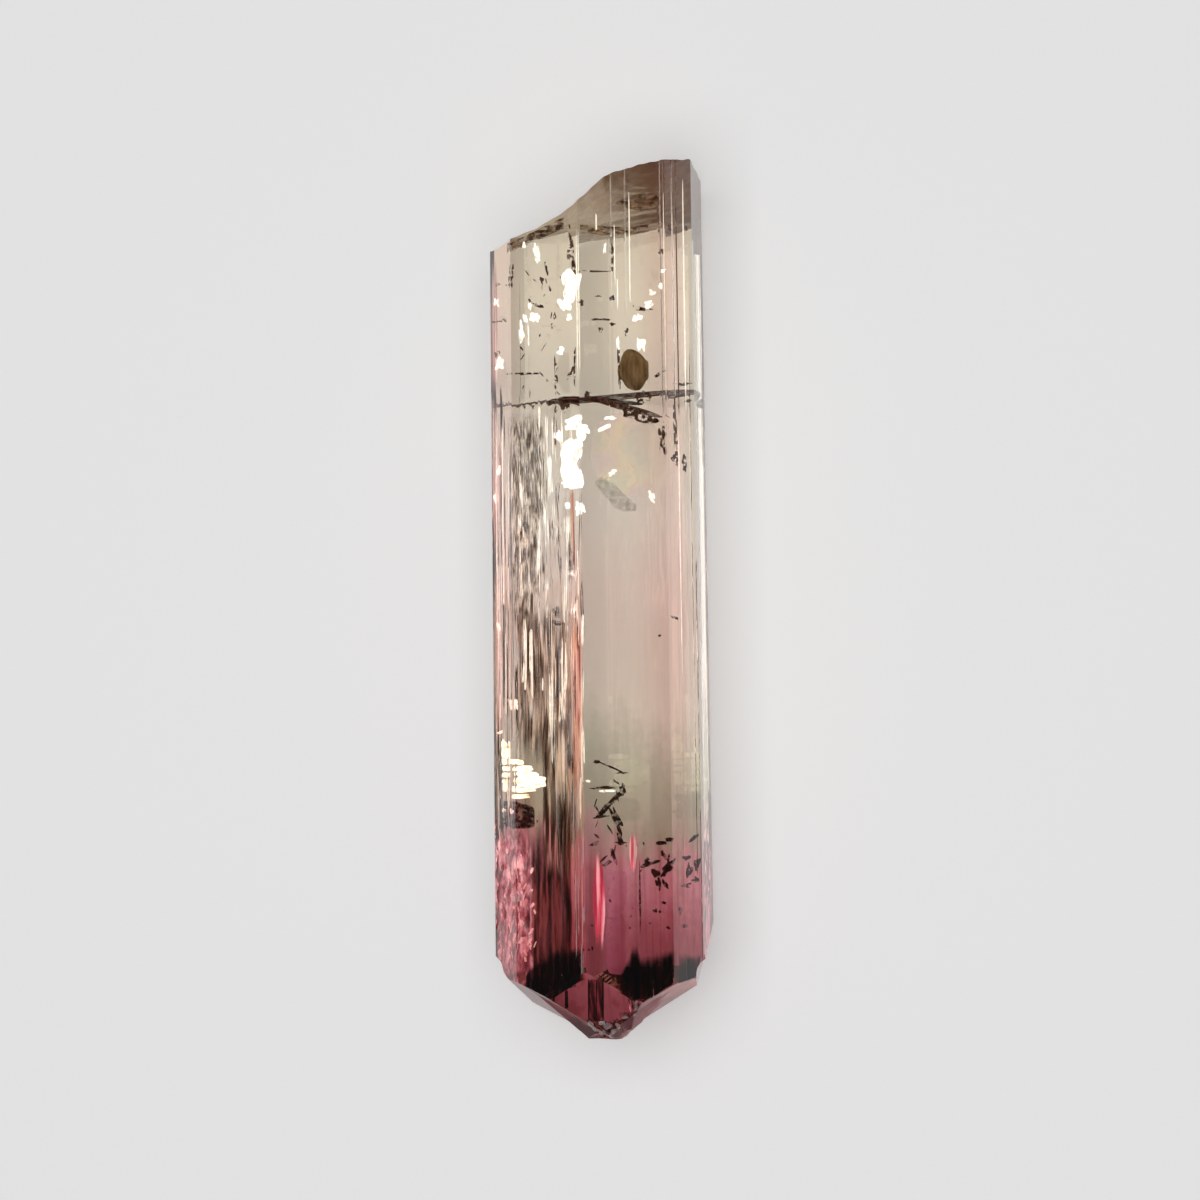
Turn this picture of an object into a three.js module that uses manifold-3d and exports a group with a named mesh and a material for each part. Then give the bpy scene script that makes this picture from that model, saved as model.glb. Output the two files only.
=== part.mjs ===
// Watermelon tourmaline crystal, lying on one prism face: a nine-sided striated prism with a narrow flat along
// its upper ridge, a pyramid at one end, where the colour turns pink, and a slanting break at the other.
// Units are millimetres, +Z up. The crystal's long axis is Y: the pyramid's tip is at -Y, the break at +Y.
// The origin is under the middle of the crystal, on the face it rests on.
import * as THREE from "three";
import { mergeVertices } from "three/addons/utils/BufferGeometryUtils.js";
import Module from "manifold-3d";

// Driving dimensions
const LENGTH = 19; // tip to the highest corner of the break
const TAPER = 0.036; // how much narrower the broken end is than the tip end, as a share of the width

// Prism faces in order round the axis: azimuth in degrees from straight up towards +X, distance from the
// axis, and the number and depth of the growth steps that stripe the face
const REST_DISTANCE = 2.12;
const FACES = [
  { azimuth: 30, distance: 2.1, steps: 7, depth: 0.022 },
  { azimuth: 60, distance: 2.22, steps: 6, depth: 0.045 },
  { azimuth: 90, distance: 2.27, steps: 5, depth: 0.025 },
  { azimuth: 150, distance: 2.22, steps: 8, depth: 0.03 },
  { azimuth: 180, distance: REST_DISTANCE, steps: 1, depth: 0 },
  { azimuth: 205, distance: 2.26, steps: 8, depth: 0.03 },
  { azimuth: 270, distance: 2.27, steps: 5, depth: 0.025 },
  { azimuth: 300, distance: 2.22, steps: 6, depth: 0.045 },
  { azimuth: 330, distance: 2.19, steps: 9, depth: 0.05 },
  { azimuth: 348, distance: 2.387, steps: 3, depth: 0.02 },
];
const STEP_RUN = 0.02; // how wide the riser between two growth steps is

// Pyramid: each face by its azimuth, its rise along the axis for each mm outwards, and where it crosses
// the axis
const PYRAMID = [
  { azimuth: 0, rise: 1.034, along: -0.995 },
  { azimuth: 74, rise: 0.72, along: -0.287 },
  { azimuth: 120, rise: 0.62, along: 0.02 },
  { azimuth: 180, rise: 1.2, along: -1.05 },
  { azimuth: -70, rise: 0.6, along: 0.03 },
];
// Steep little faces that round the pyramid's shoulders, each through a point at this distance from the axis
const SHOULDERS = [
  { azimuth: -86, rise: 3, distance: 2.12, along: 1.58 },
  { azimuth: -83, rise: 1.33, distance: 1.96, along: 1.25 },
  { azimuth: 94, rise: 8.6, distance: 2.05, along: 1.2 },
];

// Lumps of broken crystal on the tip: centre across, along and up from the axis, radius and turn
const LUMPS = [
  { x: -0.1, along: 0.27, height: 0.62, radius: 0.28, turn: 0.35 },
  { x: 0.44, along: 0.26, height: 0.72, radius: 0.27, turn: 1.15 },
  { x: 0.16, along: 0.28, height: 0.15, radius: 0.3, turn: 2.1 },
  { x: 0.72, along: 0.46, height: 1.12, radius: 0.26, turn: 0.7 },
];

// Break: it climbs from side to side, by a steeper rise in the middle of the upper rim and near the end of
// the lower one, and runs straight from the lower rim to the upper. Heights are from the axis.
const UPPER_RIM = { height: 2.2, along: 17.02, slope: 0.39, rise: 0.6, from: -0.45, to: 0.9 };
const LOWER_RIM = { height: -2.1, along: 17, slope: 0.17, rise: 0.6, from: 0.8, to: 2.2 };
const RIM_START = -2.2; // where across the crystal both rims start
const RIPPLE = { x: 2.1, height: 1.2, pitch: 0.9, depth: 0.016 }; // shell-like waves round the struck corner
const BREAK_REACH = 3; // half the width of the cutter that makes the break
const BREAK_CELLS = 34;

// Growth ribs, fused on the prism faces: face index, place across the face (-1 to 1), width, height, and
// where along the axis each starts and ends
const RIBS = [
  { face: 8, across: -0.72, width: 0.16, height: 0.015, from: 1, to: 9.2 },
  { face: 8, across: -0.42, width: 0.12, height: 0.02, from: 1, to: 8.6 },
  { face: 8, across: -0.16, width: 0.18, height: 0.01, from: 1, to: 9.6 },
  { face: 8, across: 0.12, width: 0.13, height: 0.02, from: 1, to: 9.0 },
  { face: 8, across: 0.4, width: 0.2, height: 0.015, from: 1, to: 9.1 },
  { face: 8, across: 0.74, width: 0.14, height: 0.02, from: 1, to: 12.4 },
  { face: 7, across: -0.3, width: 0.13, height: 0.05, from: 3.2, to: 15.5 },
  { face: 7, across: 0.35, width: 0.1, height: 0.05, from: 5.5, to: 12.8 },
  { face: 1, across: -0.62, width: 0.08, height: 0.05, from: 3.5, to: 17.6 },
  { face: 1, across: -0.1, width: 0.1, height: 0.06, from: 1.5, to: 17.4 },
  { face: 1, across: 0.5, width: 0.09, height: 0.05, from: 6, to: 17.7 },
  { face: 0, across: 0.08, width: 0.06, height: 0.03, from: 15.6, to: 18 },
  { face: 0, across: 0.45, width: 0.07, height: 0.035, from: 13.5, to: 18 },
  { face: 3, across: 0.2, width: 0.16, height: 0.05, from: 2.4, to: 16 },
  { face: 5, across: -0.3, width: 0.14, height: 0.05, from: 3, to: 14.5 },
];
const RIB_ROOT = 0.12; // how far a rib reaches into its face, below the deepest growth step
const RIB_TOP = 0.55; // how much of a rib's width is left at its top

// Old cracks, as thin slits: one crosses the crystal and is open at both sides, and a smaller one runs from it
// towards the tip. Centre, half sizes, and turns about X, Y and Z of a disc that starts square to the axis
const CRACK_GAP = 0.04;
const CRACKS = [
  { x: -0.06, along: 13.82, height: 0, wide: 2.5, high: 1.9, turnX: 0, turnY: 0, turnZ: 4.8 },
  { x: 0.52, along: 12.75, height: 0.37, wide: 0.84, high: 1.2, turnX: 90, turnY: 16.7, turnZ: 0 },
];

// Conchoidal chips knocked out of the edges: centre of the scoop and its radius
const SCOOPS = [
  { x: 2.9, along: 19.45, height: 1.1, radius: 0.75 },
  { x: -2.6, along: 17.3, height: 0.9, radius: 0.6 },
  { x: 1.24, along: 0.55, height: 1.8, radius: 0.4 },
  { x: -0.06, along: 9.75, height: 2.72, radius: 0.34 },
];

const COLOUR = { color: 0xc9b9a6, roughness: 0.06, metalness: 0 };

const wasm = await Module();
wasm.setup();

const radians = THREE.MathUtils.degToRad;
const outward = (azimuth) =>
  new THREE.Vector2(Math.sin(radians(azimuth)), Math.cos(radians(azimuth)));

// A repeatable number from 0 to 1 for each n.
function scatter(n) {
  const wave = Math.sin(n * 12.9898 + 4.1) * 43758.5453;
  return wave - Math.floor(wave);
}

function toSolid(geometry) {
  const bare = geometry.clone();
  bare.deleteAttribute("normal");
  bare.deleteAttribute("uv");
  const merged = mergeVertices(bare, 1e-5);
  return new wasm.Manifold(
    new wasm.Mesh({
      numProp: 3,
      vertProperties: new Float32Array(merged.attributes.position.array),
      triVerts: new Uint32Array(merged.index.array),
    }),
  );
}

function toGeometry(solid) {
  const mesh = solid.getMesh();
  const geometry = new THREE.BufferGeometry();
  geometry.setAttribute("position", new THREE.BufferAttribute(mesh.vertProperties, 3));
  geometry.setIndex(new THREE.BufferAttribute(mesh.triVerts, 1));
  return geometry;
}

// Extrudes an outline, drawn across (x) and up (height), along the crystal's axis.
function alongAxis(outline, from, to) {
  const geometry = new THREE.ExtrudeGeometry(new THREE.Shape(outline), {
    depth: to - from,
    bevelEnabled: false,
  });
  return geometry.rotateX(Math.PI / 2).translate(0, to, 0);
}

// Where two prism faces meet, as a point across and up from the axis.
function corner(a, b) {
  const na = outward(a.azimuth);
  const nb = outward(b.azimuth);
  const across = na.x * nb.y - na.y * nb.x;
  return new THREE.Vector2(
    (a.distance * nb.y - b.distance * na.y) / across,
    (b.distance * na.x - a.distance * nb.x) / across,
  );
}

// A face's two ends, from the corner before it to the corner after it.
function faceEnds(index) {
  const count = FACES.length;
  const before = FACES[(index + count - 1) % count];
  const after = FACES[(index + 1) % count];
  return [corner(before, FACES[index]), corner(FACES[index], after)];
}

// The prism's outline: each face is cut into strips that lie a little deeper or shallower than each other.
function stripedOutline() {
  const outline = [];
  FACES.forEach((face, index) => {
    const [start, end] = faceEnds(index);
    const normal = outward(face.azimuth);
    const width = start.distanceTo(end);
    for (let strip = 0; strip < face.steps; strip++) {
      const seed = index * 20 + strip;
      const wobble = (n) => (n % face.steps === 0 ? 0 : 0.5 * (scatter(index * 20 + n) - 0.5));
      const from = (strip + wobble(strip)) / face.steps + STEP_RUN / width;
      const to = (strip + 1 + wobble(strip + 1)) / face.steps - STEP_RUN / width;
      const sunk = face.depth * scatter(seed + 7.3);
      for (const share of [from, to]) {
        outline.push(start.clone().lerp(end, share).addScaledVector(normal, -sunk));
      }
    }
  });
  return outline.reverse();
}

// A low ridge with sloping sides, set on a prism face.
function rib({ face, across, width, height, from, to }) {
  const [start, end] = faceEnds(face);
  const normal = outward(FACES[face].azimuth);
  const along = end.clone().sub(start).normalize();
  const middle = start.clone().lerp(end, (across + 1) / 2);
  const point = (side, up) => middle.clone().addScaledVector(along, side).addScaledVector(normal, up);
  const half = width / 2;
  const outline = [
    point(-half, -RIB_ROOT),
    point(half, -RIB_ROOT),
    point(half * RIB_TOP, height),
    point(-half * RIB_TOP, height),
  ];
  return toSolid(alongAxis(outline.reverse(), from, to));
}

// Narrows the crystal evenly towards its broken end, keeping the face it rests on flat.
function tapered(solid) {
  return solid.warp((vertex) => {
    const scale = 1 - (TAPER * vertex[1]) / LENGTH;
    vertex[0] *= scale;
    vertex[2] = (vertex[2] + REST_DISTANCE) * scale - REST_DISTANCE;
  });
}

// Everything on the tip side of a sloping plane that passes through a point.
function tipSide({ azimuth, rise }, x, along, height) {
  const size = 30;
  const direction = outward(azimuth);
  const normal = new THREE.Vector3(rise * direction.x, -1, rise * direction.y).normalize();
  const block = new THREE.BoxGeometry(size, size, size).translate(0, 0, size / 2);
  block.applyQuaternion(new THREE.Quaternion().setFromUnitVectors(new THREE.Vector3(0, 0, 1), normal));
  return toSolid(block.translate(x, along, height));
}

function pyramidCuts() {
  const faces = PYRAMID.map((face) => tipSide(face, 0, face.along, 0));
  const shoulders = SHOULDERS.map((face) => {
    const point = outward(face.azimuth).multiplyScalar(face.distance);
    return tipSide(face, point.x, face.along, point.y);
  });
  return [...faces, ...shoulders];
}

// A splintery lump with flat sides, on the tip.
function lump({ x, along, height, radius, turn }) {
  const splinter = new THREE.IcosahedronGeometry(radius, 0).rotateY(turn).rotateX(turn / 2);
  return toSolid(splinter.translate(x, along, height));
}

// How far along the axis a rim of the break lies at a place across the crystal.
function rimAlong({ along, slope, rise, from, to }, x) {
  return along + slope * (x - RIM_START) + rise * THREE.MathUtils.smoothstep(x, from, to);
}

// How far along the axis the break lies at a point across and up from the axis.
function breakAlong(x, height) {
  const share = (height - LOWER_RIM.height) / (UPPER_RIM.height - LOWER_RIM.height);
  const flat = THREE.MathUtils.lerp(rimAlong(LOWER_RIM, x), rimAlong(UPPER_RIM, x), share);
  const reach = Math.hypot(x - RIPPLE.x, height - RIPPLE.height);
  return flat + RIPPLE.depth * Math.cos((reach / RIPPLE.pitch) * Math.PI * 2);
}

// A block whose under side, facing the crystal, is the break.
function breakCut() {
  const top = LENGTH + 6;
  const block = new THREE.BoxGeometry(
    2 * BREAK_REACH, 2 * BREAK_REACH, 1, BREAK_CELLS, BREAK_CELLS, 1,
  );
  block.rotateX(Math.PI / 2);
  const place = block.attributes.position;
  for (let i = 0; i < place.count; i++) {
    const under = place.getY(i) > 0 ? top : breakAlong(place.getX(i), place.getZ(i));
    place.setY(i, under);
  }
  return toSolid(block);
}

function scoop({ x, along, height, radius }) {
  return toSolid(new THREE.IcosahedronGeometry(radius, 3).translate(x, along, height));
}

function crack({ x, along, height, wide, high, turnX, turnY, turnZ }) {
  const slit = new THREE.CylinderGeometry(1, 1, CRACK_GAP, 40).scale(wide, 1, high);
  slit.rotateX(radians(turnX)).rotateY(radians(turnY)).rotateZ(radians(turnZ));
  return toSolid(slit.translate(x, along, height));
}

function crystalSolid() {
  let solid = toSolid(alongAxis(stripedOutline(), -1, LENGTH + 2));
  for (const ridge of RIBS) solid = solid.add(rib(ridge));
  solid = tapered(solid);
  for (const cut of [...pyramidCuts(), breakCut()]) solid = solid.subtract(cut);
  for (const splinter of LUMPS) solid = solid.add(lump(splinter));
  for (const hollow of SCOOPS) solid = solid.subtract(scoop(hollow));
  for (const slit of CRACKS) solid = solid.subtract(crack(slit));
  return solid;
}

const geometry = toGeometry(crystalSolid());
geometry.computeBoundingBox();
const middle = geometry.boundingBox.getCenter(new THREE.Vector3());
geometry.translate(-middle.x, -middle.y, REST_DISTANCE);

const crystal = new THREE.Mesh(geometry, new THREE.MeshStandardMaterial(COLOUR));
crystal.name = "crystal";

const part = new THREE.Group();
part.add(crystal);

export default part;
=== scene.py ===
"""Watermelon tourmaline crystal, lying on one prism face and seen from above.

The crystal is one closed surface: a wall of growth-striped prism faces, a pyramid at the tip end and a
shell-like break at the other. Its fractures and inclusions are thin closed lenses and films inside it, and
some of the films and lenses are painted shadows, reflections and highlights.
Lengths below are in millimetres; meshes are written in metres. Across is X, along is Y counted from the tip,
and height is Z counted from the crystal's axis.
"""
import math

import bpy
import numpy as np
from mathutils import Matrix, Vector


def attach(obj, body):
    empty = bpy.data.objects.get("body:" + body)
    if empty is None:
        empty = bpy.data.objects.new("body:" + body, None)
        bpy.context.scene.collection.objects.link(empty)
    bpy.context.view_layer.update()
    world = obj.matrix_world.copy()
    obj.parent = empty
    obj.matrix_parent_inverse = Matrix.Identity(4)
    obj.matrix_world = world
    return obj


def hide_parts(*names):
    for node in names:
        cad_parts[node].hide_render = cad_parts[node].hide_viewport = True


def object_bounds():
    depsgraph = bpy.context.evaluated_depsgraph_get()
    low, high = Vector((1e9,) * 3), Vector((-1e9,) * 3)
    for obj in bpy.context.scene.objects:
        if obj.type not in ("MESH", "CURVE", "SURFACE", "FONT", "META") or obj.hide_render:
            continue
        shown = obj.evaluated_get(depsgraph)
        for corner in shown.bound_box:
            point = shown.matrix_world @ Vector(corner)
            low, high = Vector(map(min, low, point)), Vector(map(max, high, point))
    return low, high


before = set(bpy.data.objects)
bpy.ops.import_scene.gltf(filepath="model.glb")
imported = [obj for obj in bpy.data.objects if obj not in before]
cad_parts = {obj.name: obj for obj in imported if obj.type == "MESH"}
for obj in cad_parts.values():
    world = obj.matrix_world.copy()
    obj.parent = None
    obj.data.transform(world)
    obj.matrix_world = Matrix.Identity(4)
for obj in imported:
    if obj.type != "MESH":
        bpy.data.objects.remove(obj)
cad_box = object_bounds()

MM = 0.001
TIP_Y = cad_box[0].y / MM
LENGTH = 19.0
TAPER = 0.036
AXIS_HEIGHT = 2.12

# Prism faces round the axis, from the narrow one along the ridge: azimuth in degrees from straight up
# towards +X, distance from the axis, and how many columns of the mesh the face has
FACES = {
    "ridge": (-12, 2.387, 18),
    "right_top": (30, 2.10, 90),
    "right_shoulder": (60, 2.22, 64),
    "right_side": (90, 2.27, 40),
    "right_under": (150, 2.22, 96),
    "rest": (180, AXIS_HEIGHT, 6),
    "left_under": (205, 2.26, 84),
    "left_side": (270, 2.27, 40),
    "left_shoulder": (300, 2.22, 64),
    "left_top": (330, 2.19, 124),
}
AZIMUTHS, DISTANCES, COLUMNS = (np.array(column) for column in zip(*FACES.values()))

# How fast grooves and rough growth fade in along the crystal, and rough growth across its face, by share
GROOVE_FADE, GROWTH_FADE, SHARE_FADE = 0.3, 0.5, 0.06
# Width over which the stripes close up to nothing beside a corner
CORNER_STRIP = 0.02
# Growth grooves strewn on a face: how many, half width, depth, range of starts along it, range of lengths
STREWN_GROOVES = {
    "ridge": (10, 0.030, 0.016, (-2, 9), (1, 4)),
    "right_top": (6, 0.030, 0.003, (-4, 14), (2, 9)),
    "right_shoulder": (6, 0.050, 0.005, (-6, 8), (8, 24)),
    "right_side": (4, 0.050, 0.004, (-6, 10), (5, 22)),
    "right_under": (40, 0.070, 0.045, (-2, 9), (2, 5)),
    "left_under": (12, 0.055, 0.008, (-6, 10), (5, 22)),
    "left_side": (18, 0.050, 0.018, (-6, 10), (5, 22)),
    "left_shoulder": (12, 0.045, 0.028, (4.5, 9), (2, 5)),
    "left_top": (50, 0.050, 0.050, (5.2, 10), (0.8, 3.5)),
}
# Single grooves near the broken end: face, share of the way across it, depth, and where they start and end
SINGLE_GROOVES = (
    ("right_top", 0.165, 0.010, 17.2, 18.2), ("right_top", 0.39, 0.012, 15.7, 18.6),
    ("right_top", 0.555, 0.012, 15.7, 18.8), ("right_top", 0.965, 0.014, 13.6, 19.0),
    ("right_shoulder", 0.07, 0.016, 13.6, 19.0), ("right_shoulder", 0.33, 0.018, 13.6, 19.0),
    ("right_shoulder", 0.47, 0.016, 13.6, 19.0),
)
# Rough growth on a face: depth, pitch across, run along, where it starts and ends along the crystal, and the
# shares across the face that it lies between
ROUGH_GROWTH = (
    ("left_top", 0.060, 0.100, 1.50, 6.8, 10.9, 0, 1),
    ("left_top", 0.060, 0.100, 1.50, 4.6, 6.8, 0.62, 1),
    ("left_top", 0.050, 0.060, 0.45, 9.6, 13.5, 0, 0.85),
    ("left_top", 0.012, 0.090, 0.70, 2.4, 5.2, 0.2, 1),
    ("left_top", 0.090, 0.150, 0.22, 2.1, 4.4, -0.1, 0.22),
    ("right_under", 0.080, 0.120, 1.50, 2.6, 11.0, 0, 1),
    ("right_under", 0.060, 0.070, 0.50, 9.6, 13.5, 0, 1),
    ("left_shoulder", 0.024, 0.090, 1.60, 4.2, 14.0, 0, 1),
    ("left_shoulder", 0.090, 0.160, 0.22, 2.5, 4.6, -0.1, 1.1),
    ("left_side", 0.060, 0.160, 0.24, 2.7, 4.2, 0, 1),
    ("ridge", 0.024, 0.070, 0.80, 2.2, 10.5, 0, 1),
)

# Pyramid faces: azimuth, rise along the axis for each mm outwards, and where each crosses the axis
PYRAMID = np.array([
    (0, 1.034, -0.995), (74, 0.72, -0.287), (120, 0.62, 0.02), (180, 1.2, -1.05), (-70, 0.6, 0.03),
    (-86, 3.0, 1.58 - 3.0 * 2.12), (-83, 1.33, 1.25 - 1.33 * 1.96), (94, 8.6, 1.2 - 8.6 * 2.05),
])
# The three pyramid faces that meet at its top, and those that are frosted
TOP_FACES = [1, 2, 4]
FROSTED_FACES = [1, 4]
# Lumps of broken crystal on the tip: across, height, lowest point, slope
LUMPS = ((-0.1, 0.62, 0.0, 1.1), (0.44, 0.72, 0.01, 1.0), (0.16, 0.15, 0.0, 0.9), (0.72, 1.12, 0.2, 1.2))
# A lump's sides, its flat top's reach, and how much it leans across
LUMP_SIDES, LUMP_FLAT, LUMP_LEAN = 5, 0.09, 0.12
# The break's upper and lower rim: place along at the start, slope across, extra rise, and where that rise
# starts and ends across. Both start at the same place across, and lie at these heights
UPPER_RIM = (17.02, 0.39, 0.6, -0.45, 0.9)
LOWER_RIM = (17.0, 0.17, 0.6, 0.8, 2.2)
RIM_START = -2.2
LOWER_HEIGHT, RIM_APART = -2.1, 4.3
# Waves round the struck corner: its place across and up, pitch, depth, and the depth and rate of finer ones
STRUCK_CORNER = (2.1, 1.2)
WAVE_PITCH, WAVE_DEPTH, FINE_DEPTH, FINE_RATE = 0.9, 0.016, 0.006, 21
# Chips out of the edges at the broken end: across, along, height, radius
CHIPS = ((2.9, 19.45, 1.1, 0.75), (-2.6, 17.3, 0.9, 0.6))
# Share of the wall's length that has closer rows, how many rows it and the rest have, and rings on the ends:
# on the pyramid from each edge of its faces to the next, and on the break
CLOSE_SHARE, CLOSE_ROWS, OTHER_ROWS = 0.22, 32, 76
TIP_STEPS, BREAK_RINGS = (8, 6, 5, 5), 16


def outward(azimuth):
    """The direction across and up from the axis at an azimuth in degrees."""
    angle = np.radians(azimuth)
    return np.stack([np.sin(angle), np.cos(angle)], axis=-1)


def smoothstep(value, low, high):
    """0 below low, 1 above high, and an S curve between."""
    share = np.clip((value - low) / (high - low), 0, 1)
    return share * share * (3 - 2 * share)


def window(along, start, end, fade):
    """1 between start and end along the crystal, fading to 0 on both sides."""
    return smoothstep(along, start - fade, start + fade) * (1 - smoothstep(along, end - fade, end + fade))


def make_mesh(name, points, quads, triangles, inside=None):
    """A mesh from points in mm, across, along from the tip and up from the axis, turned to face outwards.

    The faces are turned over if the volume they close is negative. A lens's points also say how far inside
    its rim they are.
    """
    place = points * MM + np.array([0, TIP_Y * MM, AXIS_HEIGHT * MM])
    flat = np.concatenate([quads[:, [0, 1, 2]], quads[:, [0, 2, 3]], triangles])
    a, b, c = place[flat[:, 0]], place[flat[:, 1]], place[flat[:, 2]]
    if np.einsum("ij,ij->i", a, np.cross(b, c)).sum() < 0:
        quads, triangles = quads[:, ::-1], triangles[:, ::-1]
    mesh = bpy.data.meshes.new(name)
    mesh.from_pydata(place.tolist(), [], quads.tolist() + triangles.tolist())
    if inside is not None:
        mesh.attributes.new("inside", "FLOAT", "POINT").data.foreach_set("value", inside)
    piece = bpy.data.objects.new(name, mesh)
    bpy.context.scene.collection.objects.link(piece)
    return piece


def ring_quads(rows, columns):
    """Quads between rows of points that run round in a ring."""
    row, column = np.meshgrid(np.arange(rows - 1), np.arange(columns), indexing="ij")
    here = row * columns + column
    beside = row * columns + (column + 1) % columns
    return np.stack([here, beside, beside + columns, here + columns], axis=-1).reshape(-1, 4)


def ring_fans(rows, columns):
    """Triangles that close a tube of rings at both ends, to two points numbered after the rings."""
    column = np.arange(columns)
    beside = (column + 1) % columns
    last = (rows - 1) * columns
    near = np.stack([beside, column, np.full(columns, rows * columns)], axis=-1)
    far = np.stack([last + column, last + beside, np.full(columns, rows * columns + 1)], axis=-1)
    return np.concatenate([near, far])


# The prism's section and its stripes

def narrowing(along):
    """How much the crystal has narrowed towards the broken end, as a share of its width at the tip."""
    return 1 - TAPER * along / LENGTH


def narrowed(height, scale):
    """A height drawn in towards the rest face as the crystal narrows."""
    return (height + AXIS_HEIGHT) * scale - AXIS_HEIGHT


def face_corners():
    """Where each prism face starts and ends: the crossing of its line with the line before and after it."""
    normal = outward(AZIMUTHS)
    before = np.roll(np.arange(len(FACES)), 1)
    cross = normal[before, 0] * normal[:, 1] - normal[before, 1] * normal[:, 0]
    x = (DISTANCES[before] * normal[:, 1] - DISTANCES * normal[before, 1]) / cross
    z = (DISTANCES * normal[before, 0] - DISTANCES[before] * normal[:, 0]) / cross
    start = np.stack([x, z], axis=-1)
    return start, np.roll(start, -1, axis=0)


FACE_START, FACE_END = face_corners()
FACE_WIDTH = np.linalg.norm(FACE_END - FACE_START, axis=-1)
COLUMN_FACE = np.repeat(np.arange(len(FACES)), COLUMNS)
COLUMN_SHARE = np.concatenate([np.arange(n) / n for n in COLUMNS])


def groove_set(name, width, seed):
    """A face's grooves as rows of: place across, width of the steep and the gentle side, depth, start, end.

    A negative steep side stands for a groove whose steep side comes second, going round the crystal.
    """
    count, half_width, depth, starts, lengths = STREWN_GROOVES[name]
    rng = np.random.default_rng(seed)
    middle = rng.uniform(0.02, 0.98, count) * width
    steep = half_width * rng.uniform(0.3, 0.7, count) * rng.choice([-1, 1], count)
    gentle = half_width * rng.uniform(0.8, 2.2, count)
    deep = depth * rng.uniform(0.25, 1.0, count) ** 1.5
    start = rng.uniform(*starts, count)
    end = start + rng.uniform(*lengths, count)
    strewn = np.stack([middle, steep, gentle, deep, start, end], axis=-1)
    single = [(share * width, -0.7 * deep, 2.0 * deep, deep, start, end)
              for face, share, deep, start, end in SINGLE_GROOVES if face == name]
    return np.concatenate([strewn, np.array(single).reshape(-1, 6)])


def grooves(name, width, across, along, seed):
    """How deep the grooves cut into a face, by distance across it and along the crystal.

    Each groove is a notch with straight sides, one steeper than the other, that fades out at its two ends.
    Notches that overlap don't add up: the deepest one counts.
    """
    middle, steep, gentle, deep, start, end = groove_set(name, width, seed).T[:, :, None]
    offset = (across[None, :] - middle) * np.sign(steep)
    side = np.where(offset < 0, -offset / np.abs(steep), offset / gentle)
    notch = deep * np.clip(1 - side, 0, 1)
    open_part = window(along[None], start[:, :, None], end[:, :, None], GROOVE_FADE)
    return (notch[:, None, :] * open_part).max(axis=0)


def rough_growth(across, along, pitch, run, seed):
    """Uneven growth from 0 to 1: random heights on lattice lines that run along the crystal.

    The height is straight between one line and the next across the face, and steps softly from one random
    value to the next along a line. Each line's steps are shifted by a random amount.
    """
    rng = np.random.default_rng(seed)
    heights = rng.uniform(0, 1, (int(across.max() / pitch) + 3, int(LENGTH / run) + 6))
    shifts = rng.uniform(0, 2, len(heights))
    line = np.floor(across / pitch).astype(int)
    share = across / pitch - line

    def on_line(index):
        place = np.maximum(along, 0) / run + shifts[index][None, :]
        step = np.floor(place).astype(int)
        rise = smoothstep(place - step, 0.25, 0.75)
        return heights[index[None, :], step] * (1 - rise) + heights[index[None, :], step + 1] * rise

    return on_line(line) * (1 - share) + on_line(line + 1) * share


def wall(along):
    """Points of the wall across and up from the axis, for rows of distances along it, column by column.

    A point is on its face's line, sunk by the grooves and the rough growth, and drawn in towards the rest
    face's middle line as the crystal narrows. The stripes close up to nothing at the corners between faces.
    """
    flat = FACE_START[COLUMN_FACE] + (FACE_END - FACE_START)[COLUMN_FACE] * COLUMN_SHARE[:, None]
    normal = outward(AZIMUTHS)[COLUMN_FACE]
    sunk = np.zeros_like(along)
    for face, name in enumerate(FACES):
        if name not in STREWN_GROOVES:
            continue
        columns = COLUMN_FACE == face
        across = COLUMN_SHARE[columns] * FACE_WIDTH[face]
        edge = np.clip(np.minimum(across, FACE_WIDTH[face] - across) / CORNER_STRIP, 0, 1)
        here = along[:, columns]
        taken = grooves(name, FACE_WIDTH[face], across, here, 40 + face)
        for order, (on, depth, pitch, run, start, end, first, last) in enumerate(ROUGH_GROWTH):
            if on == name:
                part = window(here, start, end, GROWTH_FADE)
                part = part * window(COLUMN_SHARE[columns], first, last, SHARE_FADE)
                taken += depth * rough_growth(across, here, pitch, run, 70 + order) * part
        sunk[:, columns] = taken * edge
    x = flat[None, :, 0] - sunk * normal[None, :, 0]
    z = flat[None, :, 1] - sunk * normal[None, :, 1]
    scale = narrowing(along)
    return x * scale, narrowed(z, scale)


# The pyramid and the break

def pyramid_slopes():
    """Each pyramid face's rise along the axis for each mm across and for each mm up."""
    return PYRAMID[:, 1, None] * outward(PYRAMID[:, 0])


def pyramid_top():
    """The point across and up where the three top faces meet."""
    slopes = pyramid_slopes()[TOP_FACES]
    starts = PYRAMID[TOP_FACES, 2]
    return np.linalg.solve(slopes[1:] - slopes[0], starts[0] - starts[1:])


def tip_along(x, z):
    """How far along the pyramid lies: its highest face plane, or the top of a lump where that is lower."""
    slopes = pyramid_slopes()
    faces = (PYRAMID[:, 2] + x[..., None] * slopes[:, 0] + z[..., None] * slopes[:, 1]).max(axis=-1)
    for cx, cz, low, slope in LUMPS:
        turn = np.arctan2(z - cz, x - cx)
        away = np.hypot(x - cx, z - cz)
        facet = np.cos((turn * LUMP_SIDES / (2 * np.pi) % 1 - 0.5) * 2 * np.pi / LUMP_SIDES)
        lump = low + slope * np.maximum(away * facet - LUMP_FLAT, 0) + LUMP_LEAN * (x - cx)
        faces = np.minimum(faces, lump)
    return faces


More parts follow.
